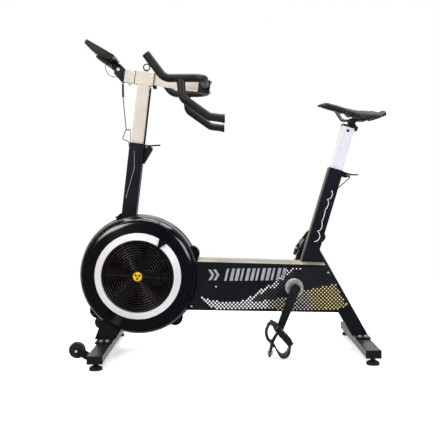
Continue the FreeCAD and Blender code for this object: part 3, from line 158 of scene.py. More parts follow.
M = {
    "frame": surface("satin_black_paint", (0.006, 0.007, 0.012), rough=0.34, grain=1600, depth=0.02,
                     mottle=0.06),
    "base": surface("base_black_paint", (0.008, 0.008, 0.010), rough=0.28, grain=1300, depth=0.02,
                    mottle=0.06),
    "cover": surface("cover_film", (0.005, 0.006, 0.010), rough=0.36, grain=1200, depth=0.015,
                     mottle=0.06),
    "gloss": surface("gloss_black", (0.003, 0.003, 0.005), rough=0.15, grain=140, depth=0.03, coat=0.4,
                     mottle=0.05),
    "top": surface("top_cover_film", (0.36, 0.32, 0.26), rough=0.30, metal=0.35, patch=8, mottle=0.25,
                   grain=60, depth=0.30, coat=0.3),
    "trim": surface("grained_silver", (0.80, 0.80, 0.83), rough=0.42, mottle=0.06, patch=300, grain=1400,
                    depth=0.10, metal=0.15),
    "grille": surface("grille_enamel", (0.018, 0.014, 0.011), rough=0.26, grain=600, coat=0.3),
    "badge": surface("badge_enamel", (0.74, 0.50, 0.02), rough=0.25, patch=90, coat=0.5),
    # Black enamel for printed marks; on the crank's ends the same colour is painted shade of the sockets.
    "ink": surface("black_enamel_and_painted_shade", (0.008, 0.008, 0.010), rough=0.3, patch=80),
    "fan": surface("fan_polymer", (0.004, 0.004, 0.004), rough=0.7, grain=700, depth=0.05, specular=0.15),
    "steel": surface("turned_steel", (0.52, 0.52, 0.54), rough=0.32, metal=1.0, grain=240, depth=0.02,
                     stretch=(1.0, 14.0, 1.0), mottle=0.1),
    "bolt": surface("zinc_bolt", (0.78, 0.77, 0.74), rough=0.32, metal=0.5, patch=220, mottle=0.2,
                    grain=500),
    "screw": surface("blackened_screw", (0.05, 0.05, 0.055), rough=0.35, metal=0.7, patch=200,
                     mottle=0.3),
    # One silver paint in two tints: the warm tint on the handlebar post and the cool tint on the seat post
    # are painted light, the warm front lamp and the cool rear light falling on the same silver.
    "post_painted_warm_light": surface("silver_paint_with_painted_warm_light", (0.74, 0.69, 0.62), rough=0.40, mottle=0.05, patch=26,
                         grain=1900, depth=0.03, metal=0.1),
    "post_painted_cool_light": surface("silver_paint_with_painted_cool_light", (0.80, 0.81, 0.90), rough=0.38, mottle=0.05, patch=26,
                         grain=1900, depth=0.03, metal=0.1),
    "disc": surface("machined_aluminium", (0.62, 0.62, 0.64), rough=0.38, metal=0.45, patch=60,
                    mottle=0.25, grain=420, depth=0.05),
    "crank": surface("crank_paint", (0.010, 0.011, 0.014), rough=0.28, grain=1100, coat=0.2),
    "plastic": surface("moulded_black", (0.008, 0.008, 0.009), rough=0.45, grain=900, depth=0.05),
    "rubber": surface("moulded_rubber", (0.011, 0.011, 0.012), rough=0.62, grain=500, depth=0.08),
    "belt": surface("belt_rubber", (0.010, 0.010, 0.010), rough=0.7, grain=1500, depth=0.1),
    "grip": surface("soft_grip", (0.014, 0.012, 0.011), rough=0.48, cells=700, depth=0.09, mottle=0.2,
                    patch=30),
    "tyre": surface("wheel_rubber", (0.020, 0.019, 0.018), rough=0.5, grain=700, depth=0.1, mottle=0.3),
    "strap": surface("strap_webbing", (0.020, 0.019, 0.018), rough=0.66, weave=520, depth=0.22, sheen=0.3,
                     mottle=0.25, patch=120),
    "console": surface("console_shell", (0.008, 0.007, 0.006), rough=0.33, grain=1000, depth=0.04,
                       mottle=0.06),
    "screen": surface("console_glass", (0.010, 0.016, 0.014), rough=0.08, grain=60, depth=0.01, coat=1.0),
    "segments": surface("display_ink", (0.10, 0.13, 0.11), rough=0.3, patch=200),
    "button": surface("button_rubber", (0.20, 0.20, 0.21), rough=0.55, patch=200),
    "lever": surface("lever_black", (0.011, 0.011, 0.012), rough=0.35, grain=800),
    "cable": surface("cable_jacket", (0.028, 0.028, 0.030), rough=0.45, patch=200),
    "saddle": surface("saddle_leather", (0.005, 0.005, 0.007), rough=0.50, cells=900, depth=0.05,
                      mottle=0.12, patch=22, specular=0.3),
    "shell": surface("saddle_shell", (0.012, 0.012, 0.014), rough=0.5, grain=800),
    "thread": surface("seam_thread", (0.030, 0.030, 0.032), rough=0.8, patch=500, mottle=0.4),
    "white_ink": surface("white_ink", (0.90, 0.90, 0.92), rough=0.45, patch=120, mottle=0.05),
    "silver_ink": surface("silver_ink", (0.40, 0.41, 0.45), rough=0.4, patch=60, mottle=0.2, metal=0.2),
    "cream_ink": surface("cream_ink", (0.86, 0.80, 0.62), rough=0.45, patch=120, mottle=0.06),
    "yellow_ink": surface("yellow_ink", (0.80, 0.72, 0.30), rough=0.45, patch=120, mottle=0.06),
    "grey_ink": surface("grey_ink", (0.16, 0.16, 0.18), rough=0.45, patch=120, mottle=0.1),
    "brass": surface("aged_brass", (0.58, 0.50, 0.40), rough=0.34, metal=0.9, patch=200, mottle=0.2),
    # The keeper's brownish tint is a painted highlight: the lit flat face of the strap's heel loop, on the
    # same dark webbing as the strap.
    "webbing_painted_highlight": surface("webbing_with_painted_highlight", (0.032, 0.026, 0.018), rough=0.6, weave=520, depth=0.2, sheen=0.2,
                     mottle=0.25, patch=120),
    "vent": surface("vent_black", (0.003, 0.003, 0.003), rough=0.8, patch=60, specular=0.1),
}

NODE_LOOKS = {
    "frame": ("main_frame", "console_bracket"),
    "base": ("front_stabiliser", "rear_stabiliser", "wheel_brackets"),
    "cover": ("left_beam_cover", "right_beam_cover"),
    "gloss": ("left_fan_shell", "right_fan_shell", "damper_lever"),
    "top": ("beam_top_cover",),
    "trim": ("trim_rings",),
    "grille": ("grilles",),
    "badge": ("grille_badges",),
    "fan": ("fan_wheel",),
    "steel": ("fan_axle", "bearings", "crank_axle", "pedal_spindles", "lock_hardware", "saddle_rails"),
    "bolt": ("stabiliser_bolts", "slider_bolts"),
    "screw": ("cover_screws", "slider_lock_knob"),
    # Both posts are the same silver; their warm and cool tints are painted light.
    "post_painted_warm_light": ("handlebar_post", "slider_tube"),
    "post_painted_cool_light": ("seat_post",),
    "disc": ("bearing_covers", "fan_pulley", "crank_pulley"),
    "crank": ("crank_arms", "seat_head", "saddle_clamp"),
    "vent": ("damper_shutter",),
    "plastic": ("sleeve_liners", "stabiliser_end_caps", "left_pedal", "right_pedal",
                "left_toe_cage", "right_toe_cage", "post_guide_strip", "slider_bushings",
                "handlebar_clamp"),
    "rubber": ("levelling_feet",),
    "belt": ("drive_belt",),
    "grip": ("handlebar",),
    "tyre": ("left_transport_wheel", "right_transport_wheel"),
    "strap": ("left_toe_strap", "right_toe_strap"),
    "console": ("console_housing",),
    "screen": ("console_screen",),
    "button": ("left_button", "right_button"),
    "lever": ("post_lock_lever", "seat_lock_lever"),
    "cable": ("sensor_cable",),
    "saddle": ("saddle_pad",),
    "shell": ("saddle_base",),
}
SMOOTH_BELOW = math.radians(32)


def dress_cad_nodes():
    """Gives every CAD node its material and smooth shading with crisp edges."""
    for look, nodes in NODE_LOOKS.items():
        for node in nodes:
            obj = frame["nodes"][node]
            obj.data.materials.clear()
            obj.data.materials.append(M[look])
            obj.data.polygons.foreach_set("use_smooth", [True] * len(obj.data.polygons))
            obj.modifiers.new("edges", "EDGE_SPLIT").split_angle = SMOOTH_BELOW
    dressed = {node for nodes in NODE_LOOKS.values() for node in nodes}
    missing = set(frame["nodes"]) - dressed
    if missing:
        raise ValueError(f"nodes with no look: {sorted(missing)}")


# ---- mesh helpers -------------------------------------------------------------------------------------
def mesh_object(name, bm, look, smooth=True):
    """Turns a bmesh into an object of the scene with its material."""
    bmesh.ops.recalc_face_normals(bm, faces=bm.faces)
    mesh = bpy.data.meshes.new(name)
    bm.to_mesh(mesh)
    bm.free()
    mesh.polygons.foreach_set("use_smooth", [smooth] * len(mesh.polygons))
    mesh.materials.append(M[look])
    obj = bpy.data.objects.new(name, mesh)
    bpy.context.scene.collection.objects.link(obj)
    return obj


def piece(name, bm, look, body, smooth=True, replaces=()):
    """Turns a bmesh into a named piece that rides on a CAD body."""
    obj = mesh_object(name, bm, look, smooth)
    if smooth:
        obj.modifiers.new("edges", "EDGE_SPLIT").split_angle = SMOOTH_BELOW
    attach(obj, body)
    if replaces:
        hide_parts(*replaces)


def curve_points(points, steps):
    """Points along a smooth curve through the given ones."""
    ends = [points[0] * 2 - points[1]] + list(points) + [points[-1] * 2 - points[-2]]
    out = []
    for a, b, c, d in zip(ends, ends[1:], ends[2:], ends[3:]):
        for k in range(steps):
            t = k / steps
            out.append(0.5 * ((2 * b) + (c - a) * t + (2 * a - 5 * b + 4 * c - d) * t * t
                              + (3 * b - a - 3 * c + d) * t ** 3))
    out.append(points[-1].copy())
    return out


def skin(bm, rings, closed=False):
    """Faces between neighbouring rings; an open run is capped at both ends, a closed one meets itself."""
    pairs = list(zip(rings, rings[1:]))
    if closed:
        pairs.append((rings[-1], rings[0]))
    for a, b in pairs:
        for k in range(len(a)):
            j = (k + 1) % len(a)
            bm.faces.new((a[k], a[j], b[j], b[k]))
    if not closed:
        bm.faces.new(rings[0][::-1])
        bm.faces.new(rings[-1])


def sweep(bm, path, section, up):
    """Sweeps a closed section of (side, up) offsets along a path; the section may vary with the step."""
    rings = []
    count = len(path)
    for i, point in enumerate(path):
        ahead = path[min(i + 1, count - 1)] - path[max(i - 1, 0)]
        ahead.normalize()
        side = ahead.cross(up).normalized()
        lift = side.cross(ahead).normalized()
        outline = section(i / (count - 1)) if callable(section) else section
        rings.append([bm.verts.new(point + side * s + lift * l) for s, l in outline])
    skin(bm, rings)


def circle(radius, sides=12, start=0.0):
    """Corners round a circle."""
    turns = [start + 2 * math.pi * k / sides for k in range(sides)]
    return [(radius * math.cos(turn), radius * math.sin(turn)) for turn in turns]


def flat_section(width, thick, corner=0.3):
    """A strap's cross-section with softened corners."""
    w, t = width / 2, thick / 2
    c = t * corner * 2
    return [(-w, -t + c), (-w + c, -t), (w - c, -t), (w, -t + c),
            (w, t - c), (w - c, t), (-w + c, t), (-w, t - c)]


def plate(bm, outline, normal, thick, centre, across, along):
    """A flat plate: a 2D outline placed at centre along two directions, thickened along normal."""
    low = [bm.verts.new(centre + across * a + along * b) for a, b in outline]
    high = [bm.verts.new(centre + across * a + along * b + normal * thick) for a, b in outline]
    bm.faces.new(low[::-1])
    bm.faces.new(high)
    for k in range(len(low)):
        j = (k + 1) % len(low)
        bm.faces.new((low[k], low[j], high[j], high[k]))


X, Y, Z = Vector((1, 0, 0)), Vector((0, 1, 0)), Vector((0, 0, 1))


# ---- places on the bike -------------------------------------------------------------------------------
def mid(node):
    """The middle of a CAD node's box."""
    low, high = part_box(node)
    return (low + high) / 2


def pin(joint):
    """A joint's place as a vector."""
    return Vector(JOINT[joint]["pos_m"])


COVER_LOW, COVER_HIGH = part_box("left_beam_cover")
SIDES = (("left", -1), ("right", 1))


# ---- printed graphics ---------------------------------------------------------------------------------
# Everything on a cover is placed from its rear bottom corner: millimetres forward (-) and up (+).
WAVE_TOP = [(-611, 73), (-553, 57), (-513, 48), (-473, 46), (-433, 56), (-395, 75), (-364, 95),
            (-328, 117), (-300, 125), (-279, 152), (-255, 174), (-224, 188)]
WAVE_LOW = [(-611, 73), (-571, 35), (-545, 17), (-530, 6)]
GOLD_TOP = [(-225, 88), (-180, 93), (-113, 105), (-60, 120)]
COVER_EDGE = [(-224, 199), (-92, 195), (0, 25)]
COVER_FRONT, COVER_RISE, COVER_SLANT = -611, -224, -50    # its front, raised end and rear slant
BOTTOM_MARGIN, BOTTOM_FALL, SLANT_RISE = 24, 0.028, 0.55  # lowest dots above the bottom edge
EDGE_MARGIN = 9
HUB_X, HUB_Z, HUB_CLEAR = -224, 107, 39
DOT_PITCH, DOT_ROW, DOT_THICK = 15.2, 7.6, 0.35
DOT_COLUMNS, DOT_ROWS = 43, 27
DOT_SIDES, DOT_TURN = 8, 0.39
CREST, CREST_END, SHADE_FROM = 20, -330, -400             # the wave's bright crest and its grey shade
GOLD_FROM, GOLD_REAR, GOLD_REAR_TOP = -150, -60, 120
SPRAY_END, SPRAY_LOW = -190, 176
SHADE_LOW, SHADE_RISE = 46, 0.14
BRIGHT_DOT, CREST_DOT, GOLD_DOT, PALE_DOT, SHADE_DOT, FAINT_DOT = 3.7, 3.2, 3.0, 2.9, 2.6, 1.3
SHADE_THINS = 0.02                    # how fast a shade dot shrinks below the crest


def level(line, x):
    """Height of a broken line at x, or None outside its run."""
    for (x0, z0), (x1, z1) in zip(line, line[1:]):
        if x0 <= x <= x1:
            return z0 + (z1 - z0) * (x - x0) / (x1 - x0)
    return None


def off_print(x, z):
    """True below the bottom margin, past the upper edge or round the crank's hub."""
    bottom = BOTTOM_MARGIN - BOTTOM_FALL * (x - COVER_FRONT)
    if x > COVER_SLANT:
        bottom += SLANT_RISE * (x - COVER_SLANT)
    edge = level(COVER_EDGE, x)
    if z < bottom or (edge is not None and z > edge - EDGE_MARGIN):
        return True
    return math.hypot(x - HUB_X, z - HUB_Z) < HUB_CLEAR


def wave_ink(x, z):
    """Dots of the wave on the cover's front part: a bright crest, a pale body and a grey shade."""
    top, low = level(WAVE_TOP, x), level(WAVE_LOW, x)
    if top is None or z > top or (low is not None and z < low):
        return None
    under = top - z
    if x > SHADE_FROM and under > CREST - 2 and z > SHADE_LOW + SHADE_RISE * (x - SHADE_FROM):
        return max(FAINT_DOT, SHADE_DOT - SHADE_THINS * under), "grey_ink"
    if x < CREST_END:
        return BRIGHT_DOT, "white_ink"
    return (CREST_DOT, "white_ink") if under < CREST else (PALE_DOT, "cream_ink")


def dot_ink(x, z):
    """Radius in millimetres and ink of the printed dot here, or None."""
    if off_print(x, z):
        return None
    if x < COVER_RISE:
        return wave_ink(x, z)
    gold = level(GOLD_TOP, x)
    if gold is not None and z < gold:
        return GOLD_DOT, "cream_ink" if x < GOLD_FROM else "yellow_ink"
    if x > GOLD_REAR and z < GOLD_REAR_TOP:
        return GOLD_DOT, "yellow_ink"
    if x < SPRAY_END and z > SPRAY_LOW:
        return PALE_DOT, "white_ink"
    return FAINT_DOT, "grey_ink"


def cover_corner(side):
    """The rear bottom corner of a beam cover's outer face."""
    return Vector((COVER_HIGH.x, side * abs(COVER_LOW.y), COVER_LOW.z))


def print_dots():
    """The dotted pattern on both beam covers, one piece for each ink."""
    for name, side in SIDES:
        fields = {}
        for row in range(DOT_ROWS):
            for column in range(-DOT_COLUMNS, 0):
                x = (column + 0.5 * (row % 2)) * DOT_PITCH
                z = row * DOT_ROW
                found = dot_ink(x, z)
                if found:
                    fields.setdefault(found[1], []).append((x, z, found[0]))
        for ink, dots in fields.items():
            bm = bmesh.new()
            for x, z, radius in dots:
                centre = cover_corner(side) + Vector((x, 0, z)) * MM
                outline = circle(radius * MM, DOT_SIDES, DOT_TURN)
                plate(bm, outline, Y * side, DOT_THICK * MM, centre, X, Z)
            piece(f"{name}_dots_{ink}", bm, ink, "frame", smooth=False)


BAR_LOW, BAR_HIGH, BAR_SLANT = 136, 186, 12
BAR_COUNT, BAR_FRONT, BAR_STEP, BAR_WIDE, BAR_THIN = 12, -509, 21, 13, 9
CHEVRONS, CHEVRON_LEAN, CHEVRON_WIDE, CHEVRON_INSET = (-574, -553), 14, 11, 3


def stroke(bm, side, low_x, low, high_x, high, wide):
    """A slanted printed bar between two heights on a cover."""
    outline = [(low_x, low), (low_x + wide, low), (high_x + wide, high), (high_x, high)]
    scaled = [(x * MM, z * MM) for x, z in outline]
    plate(bm, scaled, Y * side, DOT_THICK * MM, cover_corner(side), X, Z)


def print_bars():
    """A generic mark of slanted bars with two chevrons ahead of them."""
    middle = (BAR_LOW + BAR_HIGH) / 2
    for name, side in SIDES:
        bm = bmesh.new()
        for k in range(BAR_COUNT):
            x = BAR_FRONT + BAR_STEP * k
            stroke(bm, side, x, BAR_LOW, x + BAR_SLANT, BAR_HIGH, BAR_WIDE if k % 3 else BAR_THIN)
        for x in CHEVRONS:
            tip = x + CHEVRON_LEAN
            stroke(bm, side, x, BAR_LOW + CHEVRON_INSET, tip, middle, CHEVRON_WIDE)
            stroke(bm, side, tip, middle, x, BAR_HIGH - CHEVRON_INSET, CHEVRON_WIDE)
        piece(f"{name}_cover_bars", bm, "silver_ink", "frame", smooth=False)


SLEEVE_HALF = 30
LOOP_POINTS, LOOP_RATE = 90, 30
LOOP_LONG, LOOP_WIDE, LOOP_HIGH = 215, 9, 7
LOOP_IN, LOOP_DOWN = 48, 88           # from the lever's pin to the line's first loop


def sleeve_point(x, z, side):
    """A place on the side of the seat sleeve, in millimetres across and along it from its lever's pin."""
    along = Vector(JOINT["seat_height"]["axis"])
    across = Vector((along.z, 0, -along.x))
    return pin("seat_lock") + across * x * MM + along * z * MM + Y * side * SLEEVE_HALF * MM


def print_flourish():
    """A looping line down the seat tube."""
    for name, side in SIDES:
        bm = bmesh.new()
        points = []
        for k in range(LOOP_POINTS):
            t = k / (LOOP_POINTS - 1)
            swing = LOOP_WIDE * math.sin(t * LOOP_RATE) * (0.55 + 0.45 * math.cos(t * 7))
            drop = LOOP_DOWN + LOOP_LONG * t - LOOP_HIGH * math.cos(t * LOOP_RATE)
            points.append(sleeve_point(swing - LOOP_IN, -drop, side))
        sweep(bm, curve_points(points, 2), flat_section(2.6 * MM, 0.5 * MM), Y)
        piece(f"{name}_tube_flourish", bm, "white_ink", "frame", smooth=False)


EMBLEM_ARM = [(2.5, -2), (12, -5.5), (14.5, 0.5), (5, 4.5)]
EMBLEM_TURN = 0.5


def badge_marks():
    """A plain black three-armed emblem on each yellow hub badge."""
    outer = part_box("grille_badges")[1].y
    middle = mid("grille_badges")
    for name, side in SIDES:
        face = Vector((middle.x, side * outer, middle.z))
        bm = bmesh.new()
        for k in range(3):
            turn = 2 * math.pi * k / 3 + EMBLEM_TURN
            outline = [((x * math.cos(turn) - z * math.sin(turn)) * MM,
                        (x * math.sin(turn) + z * math.cos(turn)) * MM) for x, z in EMBLEM_ARM]
            plate(bm, outline, Y * side, 0.5 * MM, face, X, Z)
        piece(f"{name}_badge_emblem", bm, "ink", "frame", smooth=False)


# ---- saddle -------------------------------------------------------------------------------------------
SADDLE_SLICES = 34
SLICE_REACH, SLICE_LEAST = 0.0004, 8  # how near a slice a point lies, and the fewest points in one
CROWN_POINTS, UNDER_POINTS = 20, 8
CROWN, ARCH = 0.85, 6                 # how square the top's curve and the underside's arch are
SKIN, LEAST_PAD, RAIL_GAP = 0.003, 0.006, 0.006
VOXEL, PRESSURE, PUFF_FRAMES, PUFF_MOST = 0.0040, 4.0, 20, 0.0015


def slices(node, count):
    """Half width, top and lowest edge of a CAD node in equal slices along x."""
    low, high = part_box(node)
    points = [vertex.co for vertex in frame["nodes"][node].data.vertices]
    stations = sorted({round(p.x, 4) for p in points})
    rows = []
    for x in stations:
        near = [p for p in points if abs(p.x - x) < SLICE_REACH]
        if len(near) > SLICE_LEAST:
            rows.append((x, max(p.y for p in near), max(p.z for p in near), min(p.z for p in near)))
    out = []
    for k in range(count):
        x = low.x + (high.x - low.x) * k / (count - 1)
        x = min(max(x, rows[0][0]), rows[-1][0])
        for a, b in zip(rows, rows[1:]):
            if a[0] <= x <= b[0]:
                t = (x - a[0]) / (b[0] - a[0])
                out.append((x, *[a[i] + (b[i] - a[i]) * t for i in (1, 2, 3)]))
                break
    return out


def cushion_form():
    """The saddle as one closed crowned form with an arched underside."""
    rail_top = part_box("saddle_clamp")[1].z + RAIL_GAP
    bm = bmesh.new()
    rings = []
    for x, half, top, low in slices("saddle_pad", SADDLE_SLICES):
        deep = min(max(low + SKIN, rail_top), top - LEAST_PAD)
        ring = []
        for k in range(CROWN_POINTS):
            a = math.pi * k / (CROWN_POINTS - 1)
            ring.append(bm.verts.new((x, half * math.cos(a), low + (top - low) * math.sin(a) ** CROWN)))
        for k in range(1, UNDER_POINTS):
            b = -1 + 2 * k / UNDER_POINTS
            ring.append(bm.verts.new((x, (half - SKIN) * b, low + (deep - low) * (1 - b ** ARCH))))
        rings.append(ring)
    skin(bm, rings)
    return bm


def settle(cushion):
    """Remeshes the form evenly and puffs it with a short cloth simulation that moves no point far."""
    scene = bpy.context.scene
    remesh = cushion.modifiers.new("even", "REMESH")
    remesh.mode, remesh.voxel_size = "VOXEL", VOXEL
    apply_all(cushion)
    start = [vertex.co.copy() for vertex in cushion.data.vertices]
    cloth = cushion.modifiers.new("cloth", "CLOTH")
    cloth.settings.use_pressure = True
    cloth.settings.uniform_pressure_force = PRESSURE
    cloth.settings.effector_weights.gravity = 0.0
    cloth.settings.quality = 5
    cloth.settings.tension_stiffness = cloth.settings.compression_stiffness = 40
    cloth.settings.bending_stiffness = 8
    cloth.point_cache.frame_start, cloth.point_cache.frame_end = 1, PUFF_FRAMES
    for number in range(1, PUFF_FRAMES + 1):
        scene.frame_set(number)
    apply_all(cushion)
    scene.frame_set(1)
    for vertex, rest in zip(cushion.data.vertices, start):
        moved = vertex.co - rest
        if moved.length > PUFF_MOST:
            vertex.co = rest + moved * (PUFF_MOST / moved.length)


def apply_all(obj):
    """Replaces an object's mesh with what its modifiers make of it."""
    graph = bpy.context.evaluated_depsgraph_get()
    made = bpy.data.meshes.new_from_object(obj.evaluated_get(graph))
    obj.modifiers.clear()
    obj.data = made


def saddle():
    """The padded saddle, settled as cloth and smoothed, with its seams."""
    cushion = mesh_object("saddle_cushion", cushion_form(), "saddle")
    settle(cushion)
    cushion.modifiers.new("relax", "SMOOTH").iterations = 9
    cushion.modifiers.new("fine", "SUBSURF").levels = 1
    apply_all(cushion)
    cushion.data.materials.clear()
    cushion.data.materials.append(M["saddle"])
    cushion.data.polygons.foreach_set("use_smooth", [True] * len(cushion.data.polygons))
    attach(cushion, "saddle")
    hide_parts("saddle_pad", "saddle_base")
    seams(cushion)


SEAM_HEIGHT = 0.30                    # part of the way up the saddle's flank


def seams(cushion):
    """A stitched line along each flank, laid on the finished surface."""
    surface_tree = BVHTree.FromPolygons([v.co for v in cushion.data.vertices],
                                        [p.vertices[:] for p in cushion.data.polygons])
    rows = slices("saddle_pad", SADDLE_SLICES)[3:-2]
    for name, side in SIDES:
        points = []
        for x, half, top, low in rows:
            outside = Vector((x, side * (half + 0.1), low + (top - low) * SEAM_HEIGHT))
            hit = surface_tree.ray_cast(outside, -Y * side)
            if hit[0]:
                points.append(hit[0] + hit[1] * 0.3 * MM)
        bm = bmesh.new()
        sweep(bm, curve_points(points, 3), circle(0.8 * MM, 8), Z)
        piece(f"{name}_saddle_seam", bm, "thread", "saddle")


# ---- toe straps ---------------------------------------------------------------------------------------
STRAP_LOOP = [(60, 8), (55, 20), (46, 36), (34, 47), (15, 55), (-4, 54), (-26, 56)]
STRAP_TAILS = {"left": [(9, 13), (0, 38), (-10, 56), (-24, 74), (-36, 89), (-45, 97)],
               "right": [(9, 13), (-1, 38), (-4, 56), (12, 70), (28, 82), (44, 94)]}
CUP = [(-59, 1), (-69, 15), (-79, 30), (-81, 44), (-75, 56), (-62, 60), (-40, 57), (-18, 52), (0, 48.5)]
STRAP_WIDE = 13.0
STRAP_THICK = 2.4
KEEPER = [(37, -5), (50, 1), (63, 6)]
KEEPER_WIDE, KEEPER_THICK = 21, 16
STRAP_OUT, TAIL_OUT, KEEPER_OUT, BUCKLE_OUT = 6, 9.5, 4, 2.6
PEDAL_TURNS = {"left": -130.0, "right": 128.0}
CUP_ROOT, CUP_BULGE, CUP_WIDE, CUP_TAPER = 5.0, 10.0, 56, 8


def on_pedal(name, x, z, y=0.0):
    """A place in a pedal's own frame: x toward the heel and z up from the tread, in millimetres."""
    a = math.radians(PEDAL_TURNS[name])
    spindle = pin(f"{name}_pedal_spin")
    middle = mid(f"{name}_toe_cage").y
    return Vector((spindle.x + (x * math.cos(a) + z * math.sin(a)) * MM, middle + y * MM,
                   spindle.z + (z * math.cos(a) - x * math.sin(a)) * MM))


def cup_section(t):
    """The toe cup is deepest round the toes and thins to its root and its rear lip."""
    deep = CUP_ROOT + CUP_BULGE * math.sin(math.pi * min(1.0, t * 1.25)) ** 2
    return flat_section(deep * MM, (CUP_WIDE - CUP_TAPER * t) * MM, 0.5 * deep / CUP_WIDE)


def tail_section(t):
    """Full width, then cut to a point at the very end."""
    wide = STRAP_WIDE * min(1.0, 0.35 + (1 - t) * 6)
    return flat_section(wide * MM, STRAP_THICK * MM)


def buckle(bm, centre, along):
    """A rectangular frame with a crossbar and two prongs, lying in the side plane."""
    across = along.cross(Y).normalized()
    half_wide, half_long, wire = 9.5 * MM, 8.0 * MM, 1.3 * MM
    for edge in (-1, 1):
        side = centre + across * (edge * half_wide)
        sweep(bm, [side - along * half_long, side + along * half_long], circle(wire, 8), Y)
        end = centre + along * (edge * half_long)
        sweep(bm, [end - across * (half_wide + wire), end + across * (half_wide + wire)],
              circle(wire, 8), Y)
    sweep(bm, [centre - across * half_wide, centre + across * half_wide], circle(wire, 8), Y)
    for offset in (-0.3, 0.3):
        root = centre + across * (offset * half_wide)
        sweep(bm, [root, root + along * (half_long + 2 * wire)], circle(0.8 * wire, 8), Y)


def toe_straps():
    """Each pedal's toe cup, its strap with a hanging tail, the keeper and the buckle."""
    for name, side in SIDES:
        body = f"{name}_pedal_set"
        bm = bmesh.new()
        sweep(bm, curve_points([on_pedal(name, x, z) for x, z in CUP], 5), cup_section, Y)
        piece(f"{name}_toe_cup", bm, "plastic", body, replaces=(f"{name}_toe_cage",))

        bm = bmesh.new()
        loop = [on_pedal(name, x, z, side * STRAP_OUT) for x, z in STRAP_LOOP]
        sweep(bm, curve_points(loop, 5), flat_section(STRAP_WIDE * MM, STRAP_THICK * MM), Y)
        tail = [on_pedal(name, x, z, side * TAIL_OUT) for x, z in STRAP_TAILS[name]]
        sweep(bm, curve_points(tail, 5), tail_section, Y)
        piece(f"{name}_strap", bm, "strap", body, replaces=(f"{name}_toe_strap",))

        # The keeper is tinted brown as a painted highlight of the strap's lit heel loop.
        bm = bmesh.new()
        keeper = [on_pedal(name, x, z, side * KEEPER_OUT) for x, z in KEEPER]
        sweep(bm, curve_points(keeper, 4), flat_section(KEEPER_WIDE * MM, KEEPER_THICK * MM, 0.2), Y)
        piece(f"{name}_strap_keeper", bm, "webbing_painted_highlight", body)

        bm = bmesh.new()
        along = (tail[-2] - tail[-3]).normalized()
        buckle(bm, tail[-3].lerp(tail[-2], 0.6) + Y * side * BUCKLE_OUT * MM, along)
        piece(f"{name}_strap_buckle", bm, "brass", body)


# ---- small parts --------------------------------------------------------------------------------------
BEADS = ((238.6, 58), (222.5, 80))    # radius, and distance out from the middle plane, in millimetres
BEAD_R, BEAD_STEPS, BEAD_SIDES = 1.4, 120, 8


def shell_beads():
    """Moulded rings around each half of the drum."""
    axle = mid("fan_axle")
    for name, side in SIDES:
        bm = bmesh.new()
        for radius, out in BEADS:
            rings = []
            for k in range(BEAD_STEPS):
                a = 2 * math.pi * k / BEAD_STEPS
                radial = Vector((math.cos(a), 0, math.sin(a)))
                point = axle + (radial * radius + Y * side * out) * MM
                section = circle(BEAD_R * MM, BEAD_SIDES)
                rings.append([bm.verts.new(point + radial * s + Y * t) for s, t in section])
            skin(bm, rings, closed=True)
        piece(f"{name}_shell_beads", bm, "gloss", "frame")


SCREEN_LEAN = 120.6                   # degrees between the window's fall and straight up
SCREEN_HALF_HIGH = 38.8 * MM
BEZEL_R, BEZEL_OUT, BEZEL_LAP = 1.8 * MM, 2.4 * MM, 2 * MM
DIGIT_ROWS, DIGIT_STEP, DIGIT_LIFTS = (-0.024, 0.0, 0.024), 0.012, (-0.006, 0.0, 0.006)
DIGIT_HALF = (3.6 * MM, 0.6 * MM)


def console_face():
    """A raised bezel round the window and dark segments behind it."""
    low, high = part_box("console_screen")
    tilt = math.radians(SCREEN_LEAN)
    down = Vector((math.sin(tilt), 0, math.cos(tilt)))
    into = Vector((math.cos(tilt), 0, -math.sin(tilt)))
    middle = (low + high) / 2
    half_wide = (high.y - low.y) / 2
    bm = bmesh.new()
    front = middle - into * BEZEL_OUT
    for edge in (-1, 1):
        level_at = front + down * (edge * (SCREEN_HALF_HIGH + BEZEL_LAP))
        reach = Y * (half_wide + BEZEL_LAP + 1 * MM)
        sweep(bm, [level_at - reach, level_at + reach], circle(BEZEL_R, 10), into)
        side_at = front + Y * (edge * (half_wide + BEZEL_LAP))
        rise = down * SCREEN_HALF_HIGH
        sweep(bm, [side_at - rise, side_at + rise], circle(BEZEL_R, 10), into)
    piece("console_bezel", bm, "plastic", "console")

    bm = bmesh.new()
    wide, tall = DIGIT_HALF
    outline = [(-wide, -tall), (wide, -tall), (wide, tall), (-wide, tall)]
    for row in DIGIT_ROWS:
        for column in range(-4, 5):
            if column % 3:
                for lift in DIGIT_LIFTS:
                    centre = middle - into * 1.35 * MM + down * (row + lift) + Y * column * DIGIT_STEP
                    plate(bm, outline, -into, 0.2 * MM, centre, Y, down)
    piece("console_segments", bm, "segments", "console", smooth=False)


# The console's leads and the line on the sleeve: millimetres rearward and up from the top of the plug.
LEAD = [(0, 0), (0, -60), (10, -187), (-6, -228), (20, -238), (22, -262)]
LEAD_R, LOOP_R, PLUG_R = 1.8, 1.3, 4.6
PLUG_IN = 7.5                         # from the front of the cable's box to the middle of the plug
PLUG = [(0, -2), (0, -56)]
CLIP = [(8, -190), (28, -190)]
CLIP_STEM = [(27, -190), (26.4, -248)]
CONSOLE_LOOP = [(-70, 76), (-68, 55), (-52, 33), (-18, 26), (-9, 31)]
SLEEVE_LINE = [(45.6, -277.5), (44.3, -349), (8, -470)]


def stepped(points, turn, step):
    """A broken line with its corners eased over a distance and its runs cut into short steps."""
    eased = [points[0]]
    for a, b, c in zip(points, points[1:], points[2:]):
        before, after = b + (a - b).normalized() * turn, b + (c - b).normalized() * turn
        eased += [before, (before + after + 2 * b) / 4, after]
    eased.append(points[-1])
    out = []
    for a, b in zip(eased, eased[1:]):
        count = max(1, round((b - a).length / step))
        out += [a.lerp(b, k / count) for k in range(count)]
    return out + [eased[-1]]


